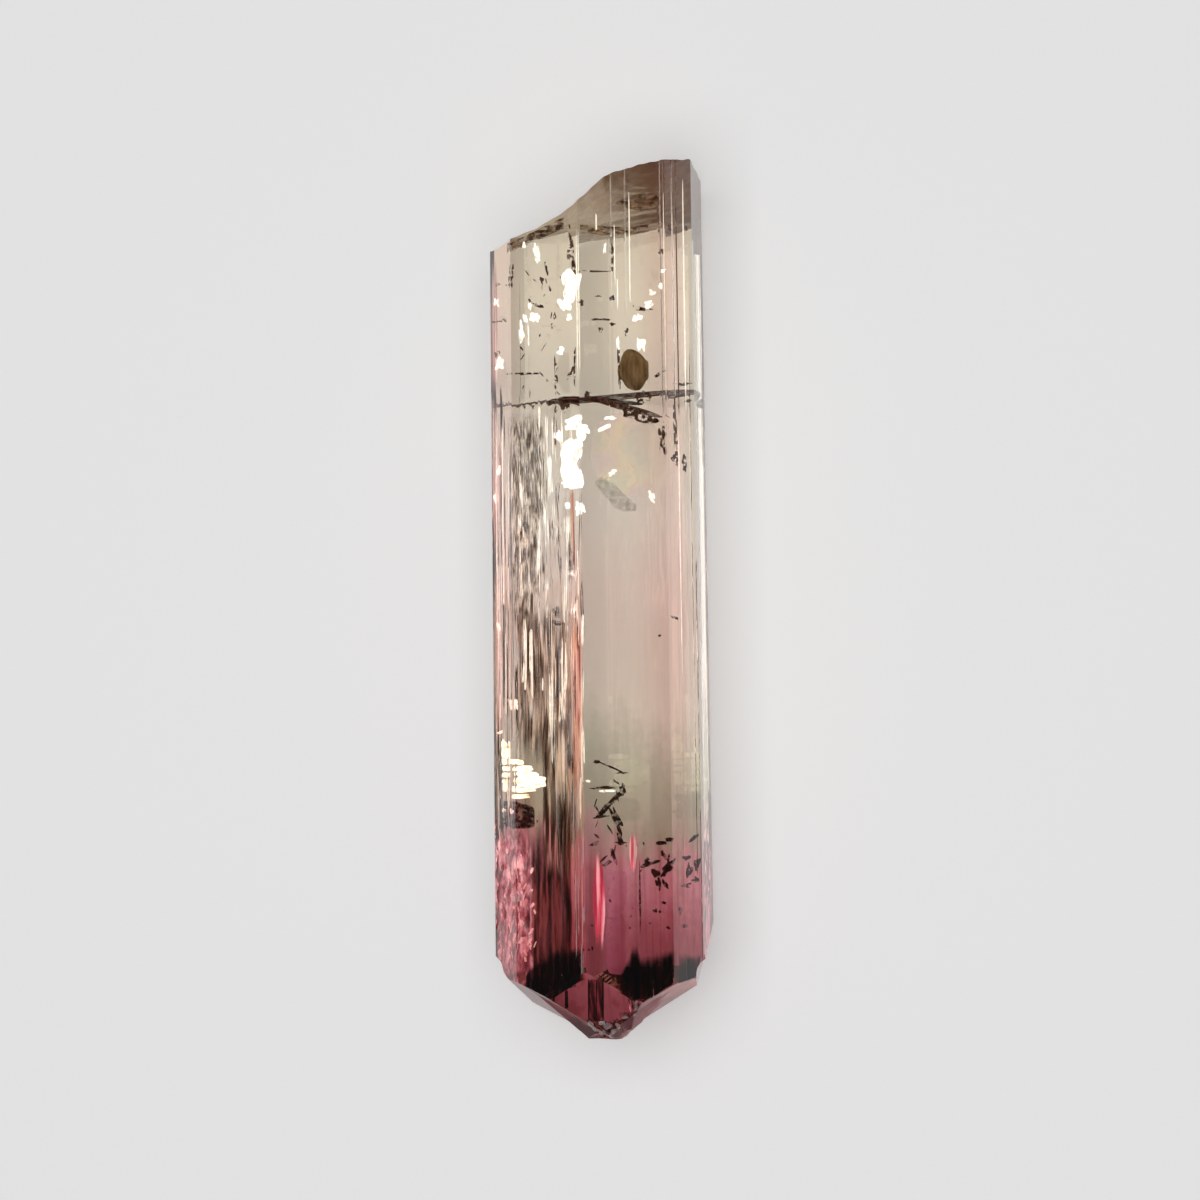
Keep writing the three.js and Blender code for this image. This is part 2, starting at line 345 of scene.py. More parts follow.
def break_along(x, z):
    """How far along the break lies: straight from a lower rim to an upper one, with shell-like waves.

    Each rim climbs evenly from side to side with one steeper rise in it. The waves run round the corner where
    the break started, and the chips take spherical bites out of the edges.
    """
    upper, lower = (start + slope * (x - RIM_START) + rise * smoothstep(x, low, high)
                    for start, slope, rise, low, high in (UPPER_RIM, LOWER_RIM))
    along = lower + (upper - lower) * (z - LOWER_HEIGHT) / RIM_APART
    away = np.hypot(x - STRUCK_CORNER[0], z - STRUCK_CORNER[1])
    waves = WAVE_DEPTH * np.cos(away / WAVE_PITCH * 2 * np.pi)
    along = along + waves + FINE_DEPTH * np.cos(away * FINE_RATE + 2 * np.sin(2 * x + z))
    for cx, cy, cz, radius in CHIPS:
        bite = radius ** 2 - (x - cx) ** 2 - (z - cz) ** 2
        along = np.where(bite > 0, np.minimum(along, cy - np.sqrt(np.maximum(bite, 0))), along)
    return along


def settle(surface, along):
    """Where the wall meets an end: its distance along, taken at the wall's own points a few times over."""
    for _ in range(5):
        along = surface(*wall(along[None, :]))[0]
    return along


def edge_shares(x, z, top):
    """Shares of the way from the pyramid's top to each rim point at which one face gives way to the next.

    On that straight line every face plane rises evenly. The face that is highest at the top is followed until
    a steeper one overtakes it, at the smallest (difference in height) / (difference in slope), and so on.
    """
    slopes = pyramid_slopes()
    height = PYRAMID[:, 2] + slopes @ top
    climb = (x[:, None] - top[0]) * slopes[:, 0] + (z[:, None] - top[1]) * slopes[:, 1]
    column = np.arange(len(x))
    current = np.argmax(height + 1e-6 * climb, axis=1)
    shares = []
    for low, high in ((0.12, 0.93), (0.03, 0.965), (0.02, 0.99)):
        gain = climb - climb[column, current][:, None]
        gap = height[current][:, None] - height[None, :]
        overtaken = np.where(gain > 1e-9, gap / np.maximum(gain, 1e-9), np.inf)
        share = overtaken.min(axis=1)
        current = np.where(share < 1, overtaken.argmin(axis=1), current)
        floor = low if not shares else shares[-1] + low
        shares.append(np.clip(share, floor, high))
    return shares


def cap(x, z, middle, surface, shares):
    """Rings at shares of the way from a middle point to the wall's rim, moved on to the end's surface."""
    cx = middle[0] + (x[None, :] - middle[0]) * shares
    cz = middle[1] + (z[None, :] - middle[1]) * shares
    rings = np.stack([cx, surface(cx, cz), cz], axis=-1)
    centre = np.array([[middle[0], surface(np.array(middle[0]), np.array(middle[1])), middle[1]]])
    return rings, centre


def tip_shares(x, z, top):
    """Shares of the rings on the pyramid, spaced evenly between its edges, from the top to the rim."""
    edges = [np.zeros_like(x), *edge_shares(x, z, top), np.ones_like(x)]
    spans = [edges[i] + (edges[i + 1] - edges[i]) * np.arange(1, n + 1)[:, None] / n
             for i, n in enumerate(TIP_STEPS)]
    return np.concatenate(spans)[:-1]


def crystal_piece():
    """The whole crystal: rings of the pyramid, rows of the wall and rings of the break, in one closed tube.

    The rows are closer together near the tip, where the growth is rougher.
    """
    columns = len(COLUMN_FACE)
    tip = settle(tip_along, np.full(columns, 1.0))
    end = settle(break_along, np.full(columns, 17.5))
    close = np.linspace(0, CLOSE_SHARE, CLOSE_ROWS, endpoint=False)
    share = np.concatenate([close, np.linspace(CLOSE_SHARE, 1, OTHER_ROWS)])[:, None]
    along = tip[None, :] + (end - tip)[None, :] * share
    x, z = wall(along)
    side = np.stack([x, along, z], axis=-1)
    top = pyramid_top()
    tip_rings, tip_point = cap(x[0], z[0], top, tip_along, tip_shares(x[0], z[0], top))
    end_shares = np.arange(BREAK_RINGS, 0, -1)[:, None] / (BREAK_RINGS + 1)
    end_rings, end_point = cap(x[-1], z[-1], (0.0, 0.0), break_along, end_shares)
    tube = np.concatenate([tip_rings, side, end_rings])
    points = np.concatenate([tube.reshape(-1, 3), tip_point, end_point])
    quads = ring_quads(len(tube), columns)
    piece = make_mesh("crystal_body", points, quads, ring_fans(len(tube), columns))
    surface = np.zeros(len(piece.data.polygons), dtype=np.int32)
    surface[(len(tip_rings) + len(side) - 1) * columns:len(quads)] = 1
    surface[len(quads) + columns:] = 1
    on_tip = points[quads[:len(tip_rings) * columns]].mean(axis=1)
    heights = PYRAMID[:, 2] + on_tip[:, [0, 2]] @ pyramid_slopes().T
    surface[:len(on_tip)] = np.where(np.isin(heights.argmax(axis=1), FROSTED_FACES), 2, 0)
    return piece, surface


# Fractures and inclusions, and the painted shadows and highlights among them

def lens_piece(name, frames, thick, curl=0.0, ragged=0.3, blunt=1.0, seed=1, rows=7, turns=26):
    """A set of closed lenses in one mesh, from frames of their middles, reaches and rises.

    With v from 0 at one pole to 1 at the other, and turn round the rim, a lens's point is
    middle + sin(pi v) * rim(turn) * (c * reach + s * rise)
    + normal * (thick / 2 * cos(pi v) + curl * sin(pi v) squared).
    The rim is 1 plus a few random waves, and the normal is square to reach and rise. c and s are cos(turn)
    and sin(turn) to the power blunt, with their signs kept, so a power under 1 makes a lens more oblong.
    """
    middle, reach, rise = frames
    count = len(middle)
    rng = np.random.default_rng(seed)
    v = np.pi * np.arange(1, rows + 1) / (rows + 1)
    turn = 2 * np.pi * (np.arange(turns) + 0.5) / turns
    waves = np.arange(2, 9)
    size = rng.normal(0, 1, (count, len(waves), 1)) * ragged / waves[None, :, None]
    phase = rng.uniform(0, 2 * np.pi, (count, len(waves), 1))
    rim = 1 + (size * np.cos(waves[None, :, None] * turn + phase)).sum(axis=1)
    normal = np.cross(reach, rise)
    normal = normal / np.linalg.norm(normal, axis=1, keepdims=True)
    c, s = (np.sign(wave) * np.abs(wave) ** blunt for wave in (np.cos(turn), np.sin(turn)))
    ring = c[None, :, None] * reach[:, None] + s[None, :, None] * rise[:, None]
    ring = ring * rim[:, :, None]
    lift = thick / 2 * np.cos(v) + curl * np.sin(v) ** 2
    body = middle[:, None, None] + np.sin(v)[None, :, None, None] * ring[:, None]
    body = body + lift[None, :, None, None] * normal[:, None, None]
    poles = middle[:, None] + np.array([0.5, -0.5])[None, :, None] * (thick * normal)[:, None]
    points = np.concatenate([body.reshape(count, -1, 3), poles], axis=1)
    first = (np.arange(count) * (rows * turns + 2))[:, None, None]
    quads = (ring_quads(rows, turns)[None] + first).reshape(-1, 4)
    triangles = (ring_fans(rows, turns)[None] + first).reshape(-1, 3)
    inside = np.tile(np.concatenate([np.repeat(1 - np.sin(v), turns), [1, 1]]), count)
    return make_mesh(name, points.reshape(-1, 3), quads, triangles, inside)


# The faces seen from above, and how far under them the lenses lie: on the rough left, on the smooth right,
# and under the pyramid
UPPER_FACES = np.array([list(FACES).index(name) for name in
                        ("left_shoulder", "left_top", "ridge", "right_top", "right_shoulder")])
LEFT_DEPTH, RIGHT_DEPTH, TIP_DEPTH = 0.17, 0.08, 0.14
# How far a film's near end keeps from the pyramid, and how fast a film fades in from its sides
PYRAMID_GAP, SIDE_FADE = 0.06, 8


def in_face(middle, face, half_width, half_length, turn):
    """Frames of lenses that lie in the planes of prism faces, turned in degrees from the crystal's axis."""
    beside = outward(AZIMUTHS[face] + 90)
    sideways = np.stack([beside[:, 0], np.zeros(len(face)), beside[:, 1]], axis=-1)
    onward = np.array([0.0, 1.0, 0.0])
    cos, sin = np.cos(np.radians(turn))[:, None], np.sin(np.radians(turn))[:, None]
    reach = half_width[:, None] * (cos * sideways + sin * onward)
    rise = half_length[:, None] * (cos * onward - sin * sideways)
    return middle, reach, rise


def skin(x, along, deeper):
    """Which upper face lies over each place, its slope, and the height of a film sunk that far under it.

    The face over a place is the one whose line, moved inwards by the depth, is lowest there.
    """
    normal, distance = outward(AZIMUTHS[UPPER_FACES]), DISTANCES[UPPER_FACES]
    scale = narrowing(along)
    depth = np.where(x < 0, LEFT_DEPTH, RIGHT_DEPTH) + deeper
    height = (distance - depth[..., None] - (x / scale)[..., None] * normal[:, 0]) / normal[:, 1]
    over = height.argmin(axis=-1)
    return over, normal[over, 1], narrowed(height.min(axis=-1), scale)


def under_skin(table, deeper=0.0):
    """Frames of lenses just under the upper prism faces, from rows as above the tables below.

    The half width is as seen from above, so it is divided by the face's slope.
    """
    x, along, half_width, half_length, turn = np.array(table, dtype=float).T
    over, slope, z = skin(x, along, deeper)
    middle = np.stack([x, along, z], axis=-1)
    return in_face(middle, UPPER_FACES[over], half_width / slope, half_length, turn)


def under_tip(table):
    """Frames of lenses just under the pyramid face that is seen from above, given as for the prism faces."""
    x, along, half_width, half_length, turn = np.array(table, dtype=float).T
    rise_along, start = PYRAMID[0, 1], PYRAMID[0, 2]
    zero = np.zeros(len(x))
    middle = np.stack([x, along, (along - start) / rise_along - TIP_DEPTH], axis=-1)
    reach = np.stack([half_width, zero, zero], axis=-1)
    rise = np.stack([-half_length * np.sin(np.radians(turn)), half_length, half_length / rise_along], axis=-1)
    return middle, reach, rise


def strewn(groups, seed):
    """Frames of small lenses at random places under the faces."""
    rng = np.random.default_rng(seed)
    sets = []
    for name, count, *ranges in groups:
        share, along, depth, half_width, half_length, turn = (rng.uniform(*ends, count) for ends in ranges)
        face = list(FACES).index(name)
        flat = FACE_START[face] + (FACE_END[face] - FACE_START[face]) * share[:, None]
        flat = flat - outward(AZIMUTHS[face]) * depth[:, None]
        scale = narrowing(along)
        middle = np.stack([flat[:, 0] * scale, along, narrowed(flat[:, 1], scale)], axis=-1)
        sets.append(in_face(middle, np.full(count, face), half_width, half_length, turn))
    return joined(*sets)


def joined(*sets):
    """Several sets of frames as one."""
    return [np.concatenate(parts) for parts in zip(*sets)]


# Lenses just under the faces: across, along, half width, half length, turn in degrees.
# White feathers, where a fracture mirrors the light: white fractures whose strong glow is a painted
# reflection of the lamp
FEATHERS = (
    (-0.18, 16.23, 0.20, 0.28, -12), (-0.31, 15.80, 0.12, 0.14, 0), (-0.21, 15.52, 0.04, 0.07, 0),
    (-1.02, 15.55, 0.11, 0.11, 0), (-1.24, 15.53, 0.05, 0.09, 0), (-1.34, 15.22, 0.06, 0.20, 0),
    (-1.17, 15.15, 0.02, 0.15, 0), (-1.86, 14.59, 0.12, 0.13, 0), (-1.94, 15.92, 0.06, 0.09, 0),
    (-1.25, 17.10, 0.04, 0.07, 0), (-0.95, 16.92, 0.07, 0.20, 10), (-1.13, 15.80, 0.03, 0.09, 0),
    (-0.41, 14.81, 0.09, 0.07, 0), (1.22, 14.94, 0.06, 0.15, 0), (1.14, 14.94, 0.02, 0.13, 0),
    (1.13, 15.50, 0.06, 0.10, -20), (1.37, 15.79, 0.09, 0.08, 30), (1.44, 16.04, 0.06, 0.05, 0),
    (1.61, 16.19, 0.04, 0.07, 0), (1.66, 16.51, 0.03, 0.04, 0), (0.74, 14.96, 0.03, 0.13, 0),
    (0.50, 16.99, 0.03, 0.09, 0), (-0.22, 12.36, 0.28, 0.38, 0), (-0.26, 11.92, 0.13, 0.07, 0),
    (-0.12, 13.21, 0.24, 0.13, 10), (-0.48, 12.99, 0.10, 0.11, 30), (-0.05, 12.88, 0.10, 0.15, 0),
    (-0.29, 11.50, 0.04, 0.07, 0), (-0.06, 11.43, 0.08, 0.13, 0), (-0.17, 9.25, 0.06, 0.14, 0),
    (-0.25, 10.05, 0.06, 0.05, 0), (0.60, 12.19, 0.07, 0.05, 30), (1.38, 11.67, 0.05, 0.11, 20),
    (0.45, 13.15, 0.15, 0.04, 15), (0.57, 13.36, 0.11, 0.04, 0), (-1.94, 12.28, 0.05, 0.09, 0),
    (-2.05, 11.69, 0.04, 0.11, 0), (-1.99, 8.91, 0.06, 0.09, 0), (-1.70, 7.26, 0.07, 0.09, 0),
    (-1.98, 6.64, 0.07, 0.04, 0), (-1.91, 4.97, 0.04, 0.05, 0), (-1.68, 4.95, 0.06, 0.06, 0),
    (0.04, 5.60, 0.04, 0.03, 0), (0.42, 5.38, 0.14, 0.03, 4),
)
# Stacked plates of an old fracture, low on the left, pale yellow with a strong glow that is a painted
# reflection of the lamp
PLATES = (
    (-1.87, 6.27, 0.10, 0.20, -15), (-1.57, 6.01, 0.15, 0.06, 0), (-1.42, 5.86, 0.24, 0.07, 0),
    (-1.25, 5.59, 0.39, 0.13, -4), (-1.86, 5.46, 0.07, 0.10, 0), (-1.57, 5.43, 0.09, 0.06, 0),
    (-1.50, 5.27, 0.24, 0.05, 3), (-1.88, 6.01, 0.07, 0.08, 0),
    (-1.33, 5.75, 0.28, 0.06, -3), (-1.36, 5.41, 0.26, 0.05, 3), (-1.84, 5.86, 0.11, 0.05, 0),
    (-1.84, 5.72, 0.12, 0.05, 0), (-1.86, 5.59, 0.10, 0.04, 0),
)
# Dark specks and short cracks: on the left above the crack, beside the ridge, round the crack, then below it
SPECKS = (
    (-1.30, 14.35, 0.36, 0.03, 0), (-2.05, 14.55, 0.09, 0.02, 0), (-1.90, 15.50, 0.17, 0.02, 0),
    (-1.69, 15.52, 0.06, 0.04, 0), (-1.53, 16.43, 0.03, 0.20, 0), (-1.58, 16.27, 0.07, 0.03, 0),
    (-0.92, 15.80, 0.14, 0.04, -15), (-1.11, 15.93, 0.05, 0.07, 0), (-0.84, 16.34, 0.04, 0.09, 30),
    (-0.72, 16.58, 0.03, 0.15, 15), (-0.15, 16.88, 0.07, 0.41, 3), (0.63, 16.86, 0.04, 0.37, 0),
    (0.34, 16.50, 0.28, 0.02, 0), (0.03, 15.83, 0.06, 0.06, 0), (0.36, 15.97, 0.05, 0.03, 0),
    (0.63, 15.91, 0.06, 0.07, 40), (0.38, 15.47, 0.17, 0.03, 0), (0.63, 15.37, 0.06, 0.03, 0),
    (0.39, 15.25, 0.04, 0.06, 0), (0.91, 15.20, 0.04, 0.07, 0), (1.22, 15.70, 0.15, 0.04, -8),
    (-0.54, 15.56, 0.03, 0.09, 0), (-0.53, 14.31, 0.04, 0.35, 0), (-0.12, 14.48, 0.03, 0.30, 0),
    (-0.20, 14.33, 0.04, 0.13, -30), (0.75, 14.44, 0.03, 0.43, 0), (1.55, 14.30, 0.12, 0.03, 30),
    (-1.92, 14.81, 0.06, 0.07, 0), (-1.88, 16.30, 0.08, 0.03, 0), (1.62, 16.92, 0.04, 0.07, 0),
    (1.75, 17.44, 0.03, 0.07, 0), (2.02, 17.44, 0.04, 0.07, 0), (1.95, 14.09, 0.15, 0.03, 0),
    (2.03, 13.73, 0.07, 0.04, 0), (-0.40, 13.60, 0.16, 0.13, 0), (0.90, 13.55, 0.64, 0.08, -20),
    (1.23, 13.81, 0.15, 0.14, 0), (1.16, 13.38, 0.33, 0.12, -8), (0.13, 13.83, 0.09, 0.09, 0),
    (1.60, 12.90, 0.07, 0.27, 0), (1.81, 13.01, 0.04, 0.60, 2), (1.80, 12.46, 0.07, 0.09, -30),
    (1.96, 12.39, 0.04, 0.20, 0), (1.76, 9.06, 0.06, 0.04, -15), (1.50, 8.69, 0.03, 0.03, 0),
    (-0.60, 8.99, 0.15, 0.04, -10), (-0.65, 9.21, 0.04, 0.13, 30), (-1.86, 5.10, 0.10, 0.07, 0),
    (-1.45, 5.05, 0.18, 0.05, 0), (-1.38, 4.76, 0.26, 0.09, 0), (-1.86, 4.76, 0.10, 0.08, 0),
)
# Wriggles and splinters where the colour turns pink
SPLINTERS = (
    (0.21, 6.01, 0.07, 0.04, 0), (0.49, 5.89, 0.28, 0.02, -25), (0.70, 5.76, 0.13, 0.02, 0),
    (0.34, 5.45, 0.25, 0.03, 0), (0.72, 5.40, 0.06, 0.13, 0), (0.44, 5.08, 0.31, 0.07, 42),
    (0.58, 4.80, 0.06, 0.28, 25), (0.29, 4.83, 0.13, 0.03, 0), (0.34, 4.97, 0.04, 0.12, -15),
    (0.65, 4.43, 0.06, 0.20, 15), (0.67, 4.26, 0.11, 0.03, 0), (0.39, 3.83, 0.11, 0.04, 30),
    (0.15, 4.26, 0.10, 0.04, 20), (0.53, 3.98, 0.04, 0.17, 20), (0.51, 2.64, 0.10, 0.03, 0),
    (1.48, 4.24, 0.13, 0.04, 0), (1.64, 4.31, 0.06, 0.06, 15), (1.53, 3.98, 0.04, 0.12, 35),
    (1.62, 3.91, 0.04, 0.08, -35), (1.23, 3.80, 0.14, 0.07, 15), (1.19, 3.89, 0.05, 0.05, 0),
    (1.36, 3.60, 0.10, 0.08, -30), (1.60, 3.70, 0.08, 0.20, -38), (1.42, 3.38, 0.05, 0.14, 8),
    (1.55, 3.36, 0.04, 0.12, 35), (1.92, 3.90, 0.06, 0.06, 0),
    (2.05, 4.32, 0.09, 0.05, 20), (1.96, 3.62, 0.05, 0.15, -15), (2.10, 3.76, 0.05, 0.15, 0),
    (1.91, 3.31, 0.09, 0.04, 0), (2.08, 3.42, 0.06, 0.06, 0), (1.34, 2.79, 0.05, 0.04, 0),
    (1.44, 2.77, 0.03, 0.03, 0), (1.51, 2.96, 0.06, 0.03, 0), (1.80, 2.77, 0.03, 0.09, 0),
    (1.87, 2.44, 0.06, 0.03, 0), (1.60, 2.42, 0.04, 0.03, 0), (1.04, 3.10, 0.02, 0.70, 0),
)
# Thin bright lines along the crystal, painted highlights: glowing white lenses that stand in for growth steps
# whose risers catch the light
LINES = (
    (1.00, 17.00, 0.012, 1.20, 0), (0.75, 16.02, 0.014, 0.324, 0), (0.34, 17.55, 0.012, 0.20, 0),
    (0.70, 16.86, 0.011, 0.60, 0), (1.68, 15.90, 0.011, 2.30, 0), (1.83, 15.90, 0.011, 2.30, 0),
    (2.02, 16.00, 0.012, 2.40, 0), (1.90, 10.63, 0.011, 2.70, 0), (-0.05, 15.82, 0.011, 1.60, 0),
    (-1.34, 8.30, 0.026, 0.692, 0), (-1.20, 8.08, 0.026, 0.800, 0), (-0.74, 7.50, 0.033, 1.405, 0),
    (-0.49, 7.72, 0.022, 0.757, 0), (-0.71, 12.15, 0.031, 0.476, 0), (-2.03, 10.42, 0.014, 2.60, 0),
    (-1.85, 11.28, 0.022, 1.90, 0), (-0.17, 7.39, 0.014, 1.20, 0),
)
# Dark lines under the pyramid face that is seen from above, which all lean alike, and the band between them
LEAN = -8.6
TIP_LINES = (
    (-0.82, 0.98, 0.026, 0.10, LEAN), (-0.545, 0.95, 0.036, 0.22, LEAN), (-0.06, 0.96, 0.022, 0.45, LEAN),
    (0.24, 0.93, 0.022, 0.48, LEAN), (0.11, 0.98, 0.014, 0.42, LEAN),
)
TIP_BAND = ((0.09, 0.94, 0.16, 0.48, LEAN),)
# Splinters of broken crystal on the tip: the shares of their size that they are sunk by and half as wide as,
# their thickness, and rows of: across, along, size
CHIP_SUNK, CHIP_WIDE, CHIP_THICK = 0.55, 0.6, 0.2
TIP_CHIPS = (
    (-0.40, 0.30, 0.13), (-0.26, 0.22, 0.16), (0.54, 0.25, 0.16),
    (-0.10, 0.42, 0.15), (0.00, 0.28, 0.17), (0.10, 0.42, 0.13), (0.17, 0.26, 0.20), (0.30, 0.36, 0.19),
    (0.38, 0.25, 0.18), (0.48, 0.40, 0.22), (0.62, 0.42, 0.20), (0.72, 0.56, 0.21), (0.84, 0.60, 0.17),
    (0.94, 0.76, 0.13),
)
# Needles and hollow tubes along the crystal, and splinters, strewn under a face: how many, and ranges of the
# share across it, place along, depth, half width, half length and turn in degrees
DARK_STREWN = (
    ("left_top", 36, (0.03, 0.97), (6.6, 13.2), (0.12, 0.24), (0.008, 0.020), (0.10, 0.60), (-2, 2)),
    ("left_top", 10, (0.60, 0.98), (4.4, 6.6), (0.12, 0.24), (0.012, 0.030), (0.20, 0.80), (-2, 2)),
    ("ridge", 12, (0.05, 0.95), (2.4, 11.2), (0.05, 0.12), (0.006, 0.016), (0.15, 0.90), (-2, 2)),
    ("left_shoulder", 12, (0.1, 0.9), (4.6, 13.0), (0.06, 0.20), (0.008, 0.016), (0.15, 0.90), (-2, 2)),
    ("left_top", 22, (0.05, 0.95), (13.9, 16.6), (0.08, 0.60), (0.010, 0.030), (0.02, 0.10), (-60, 60)),
    ("right_top", 20, (0.05, 0.99), (1.9, 4.6), (0.03, 0.40), (0.010, 0.030), (0.01, 0.05), (-80, 80)),
    ("right_top", 10, (0.08, 0.40), (3.9, 5.6), (0.03, 0.25), (0.010, 0.028), (0.05, 0.16), (-60, 60)),
)
# Bright needles and sparkles, strewn as above: white glowing lenses, where the glint of light off tubes and
# rough growth is painted
BRIGHT_STREWN = (
    ("left_top", 46, (0.03, 0.97), (6.4, 13.2), (0.14, 0.20), (0.007, 0.020), (0.10, 0.80), (-2, 2)),
    ("ridge", 8, (0.3, 0.95), (4.0, 11.0), (0.05, 0.10), (0.008, 0.020), (0.10, 0.60), (-2, 2)),
    ("left_shoulder", 22, (0.05, 0.95), (4.6, 13.2), (0.06, 0.12), (0.008, 0.020), (0.20, 1.20), (-2, 2)),
    ("left_shoulder", 50, (0.04, 0.98), (1.7, 4.2), (0.14, 0.22), (0.014, 0.045), (0.02, 0.10), (-60, 60)),
    ("left_top", 20, (0.0, 0.30), (1.7, 3.8), (0.14, 0.22), (0.014, 0.040), (0.02, 0.12), (-40, 40)),
)
# Films under the faces, in rows of: across, near end along, far end along. Veils of fine hollow tubes on the
# left, with a painted silvery sheen at the top, striped below it and wine red near the tip; painted shadows
# where the pyramid's far faces mirror the dark inside of the crystal; a grey crescent, red lines, painted
# shade under the plates, darker brown bands by the break and a pink one on the left with painted sparkle
FILM_THICK = 0.012
SILVER = (
    ((-1.62, 10.7, 13.55), (-1.30, 10.5, 13.55), (-0.95, 10.9, 13.5), (-0.86, 11.6, 13.4)),
    ((-1.62, 9.0, 11.2), (-1.10, 9.0, 11.1), (-0.95, 9.2, 10.6)),
)
STRIPED = (
    ((-1.62, 6.3, 9.6), (-1.15, 5.9, 9.5), (-0.90, 5.6, 9.5), (-0.27, 5.0, 9.4)),
    ((-0.95, 3.6, 6.6), (-0.27, 3.4, 6.4)),
)
DEEP_WINE = (
    ((-1.40, 1.2, 4.4), (-1.00, 1.2, 5.0), (-0.27, 1.2, 5.6)),
)
TIP_SHADOW = (
    ((-1.45, 0.9, 1.25), (-1.37, 0.9, 1.55), (-0.92, 0.9, 1.90), (-0.75, 0.9, 2.05), (-0.06, 0.9, 2.08)),
    ((0.62, 0.9, 1.50), (0.80, 0.9, 1.80), (0.88, 0.9, 2.10), (0.98, 0.9, 2.10), (1.04, 0.9, 1.84),
     (1.70, 0.9, 1.98), (1.74, 0.9, 1.98)),
)
SHOULDER_SHADOW = (
    ((1.76, 0.9, 1.90), (2.16, 0.9, 1.80)),
)
GREY_CRESCENT = (
    ((0.22, 11.94, 12.0), (0.35, 11.75, 12.12), (0.60, 11.42, 12.0), (0.80, 11.33, 11.75),
     (1.05, 11.36, 11.5)),
)
RED_LINES = (
    ((0.10, 2.8, 3.2), (0.16, 2.0, 4.2), (0.29, 1.9, 4.1), (0.35, 2.8, 3.2)),
    ((0.83, 4.0, 4.2), (0.88, 3.6, 4.5), (0.95, 3.6, 4.5), (1.00, 4.0, 4.2)),
)
PLATE_SHADOW = (
    ((-1.88, 4.60, 5.16), (-1.62, 4.56, 5.18), (-1.20, 4.58, 5.06), (-1.15, 4.62, 5.0)),
)
BREAK_BROWN = (
    ((-1.62, 16.93, 17.16), (-1.00, 17.16, 17.41), (-0.28, 17.42, 17.70)),
    ((-0.02, 17.30, 17.52), (0.40, 17.26, 17.48), (0.90, 17.26, 17.46), (1.40, 17.34, 17.52)),
    ((0.70, 17.96, 17.98), (0.95, 17.84, 18.10), (1.25, 17.76, 18.22), (1.50, 17.80, 18.20),
     (1.64, 17.96, 18.02)),
)
PALE_PINK = (
    ((-2.10, 1.5, 4.6), (-1.95, 1.0, 4.7), (-1.70, 0.9, 4.8), (-1.45, 0.9, 4.7), (-1.20, 0.9, 4.5)),
)
# Oblong veils in rows as for the lenses: blush along the left edge, lilac near the tip, red along the ridge
EDGE_PINK = ((-1.96, 15.30, 0.13, 1.40, 0), (-1.98, 12.15, 0.13, 1.84, 0), (-1.98, 8.26, 0.13, 2.16, 0))
LILAC_PLACES = ((0.57, 3.22, 0.20, 0.50, 0), (0.55, 2.10, 0.20, 0.66, 0))
RIDGE_RED = ((-0.15, 7.30, 0.085, 2.00, 0), (-0.20, 11.00, 0.036, 0.97, 0))
# The mirror-flat crack that crosses the whole crystal, and two shorter ones under it: middle, reach, rise
CRACKS = (
    ((-0.06, 13.82, 0.02), (2.04, 0.17, 0.0), (0.0, 0.0, 1.98)),
    ((0.55, 13.62, 0.75), (0.92, -0.22, 0.0), (0.1, 0.10, 0.85)),
    ((0.20, 13.74, 0.60), (0.75, -0.05, 0.0), (0.1, 0.06, 0.95)),
)
# A brown grain and a film of air: middle, reach, rise
GRAIN = ((0.71, 14.40, 0.48), (0.36, 0.04, 0.0), (-0.04, 0.42, 0.0))
AIR_FILM = ((0.52, 12.58, 0.37), (0.84, 0.0, -0.25), (0.0, 0.90, 0.0))


# The bright needles and lines are painted highlights: white glowing lenses that stand in for light glinting
# off tubes and growth steps.
def bright_needle_piece():
    """Bright needles and lines along the crystal: oblong lenses, strewn at random and placed one by one."""
    frames = joined(strewn(BRIGHT_STREWN, 22), under_skin(LINES, -0.02))
    return lens_piece("bright_needles", frames, FILM_THICK, ragged=0.2, blunt=0.6, seed=22, rows=5, turns=18)


def crack_piece():
    """The cracks: wide, nearly smooth lenses that are slightly dished."""
    return lens_piece("cross_crack", np.array(CRACKS).transpose(1, 0, 2), 0.03, 0.015, ragged=0.03, seed=8,
                      rows=15, turns=72)


def grain_piece():
    """A grain of another mineral that the crystal grew round: a lens about as thick as it is wide."""
    return lens_piece("brown_grain", [np.array([row]) for row in GRAIN], 0.5, ragged=0.12, seed=9, rows=16)


def rainbow_piece():
    """A thin film of air, nearly round and slightly dished, that shows pale rainbow rings."""
    frames = [np.array([row]) for row in AIR_FILM]
    return lens_piece("rainbow_film", frames, 0.02, 0.1, ragged=0.06, seed=10, rows=15, turns=48)


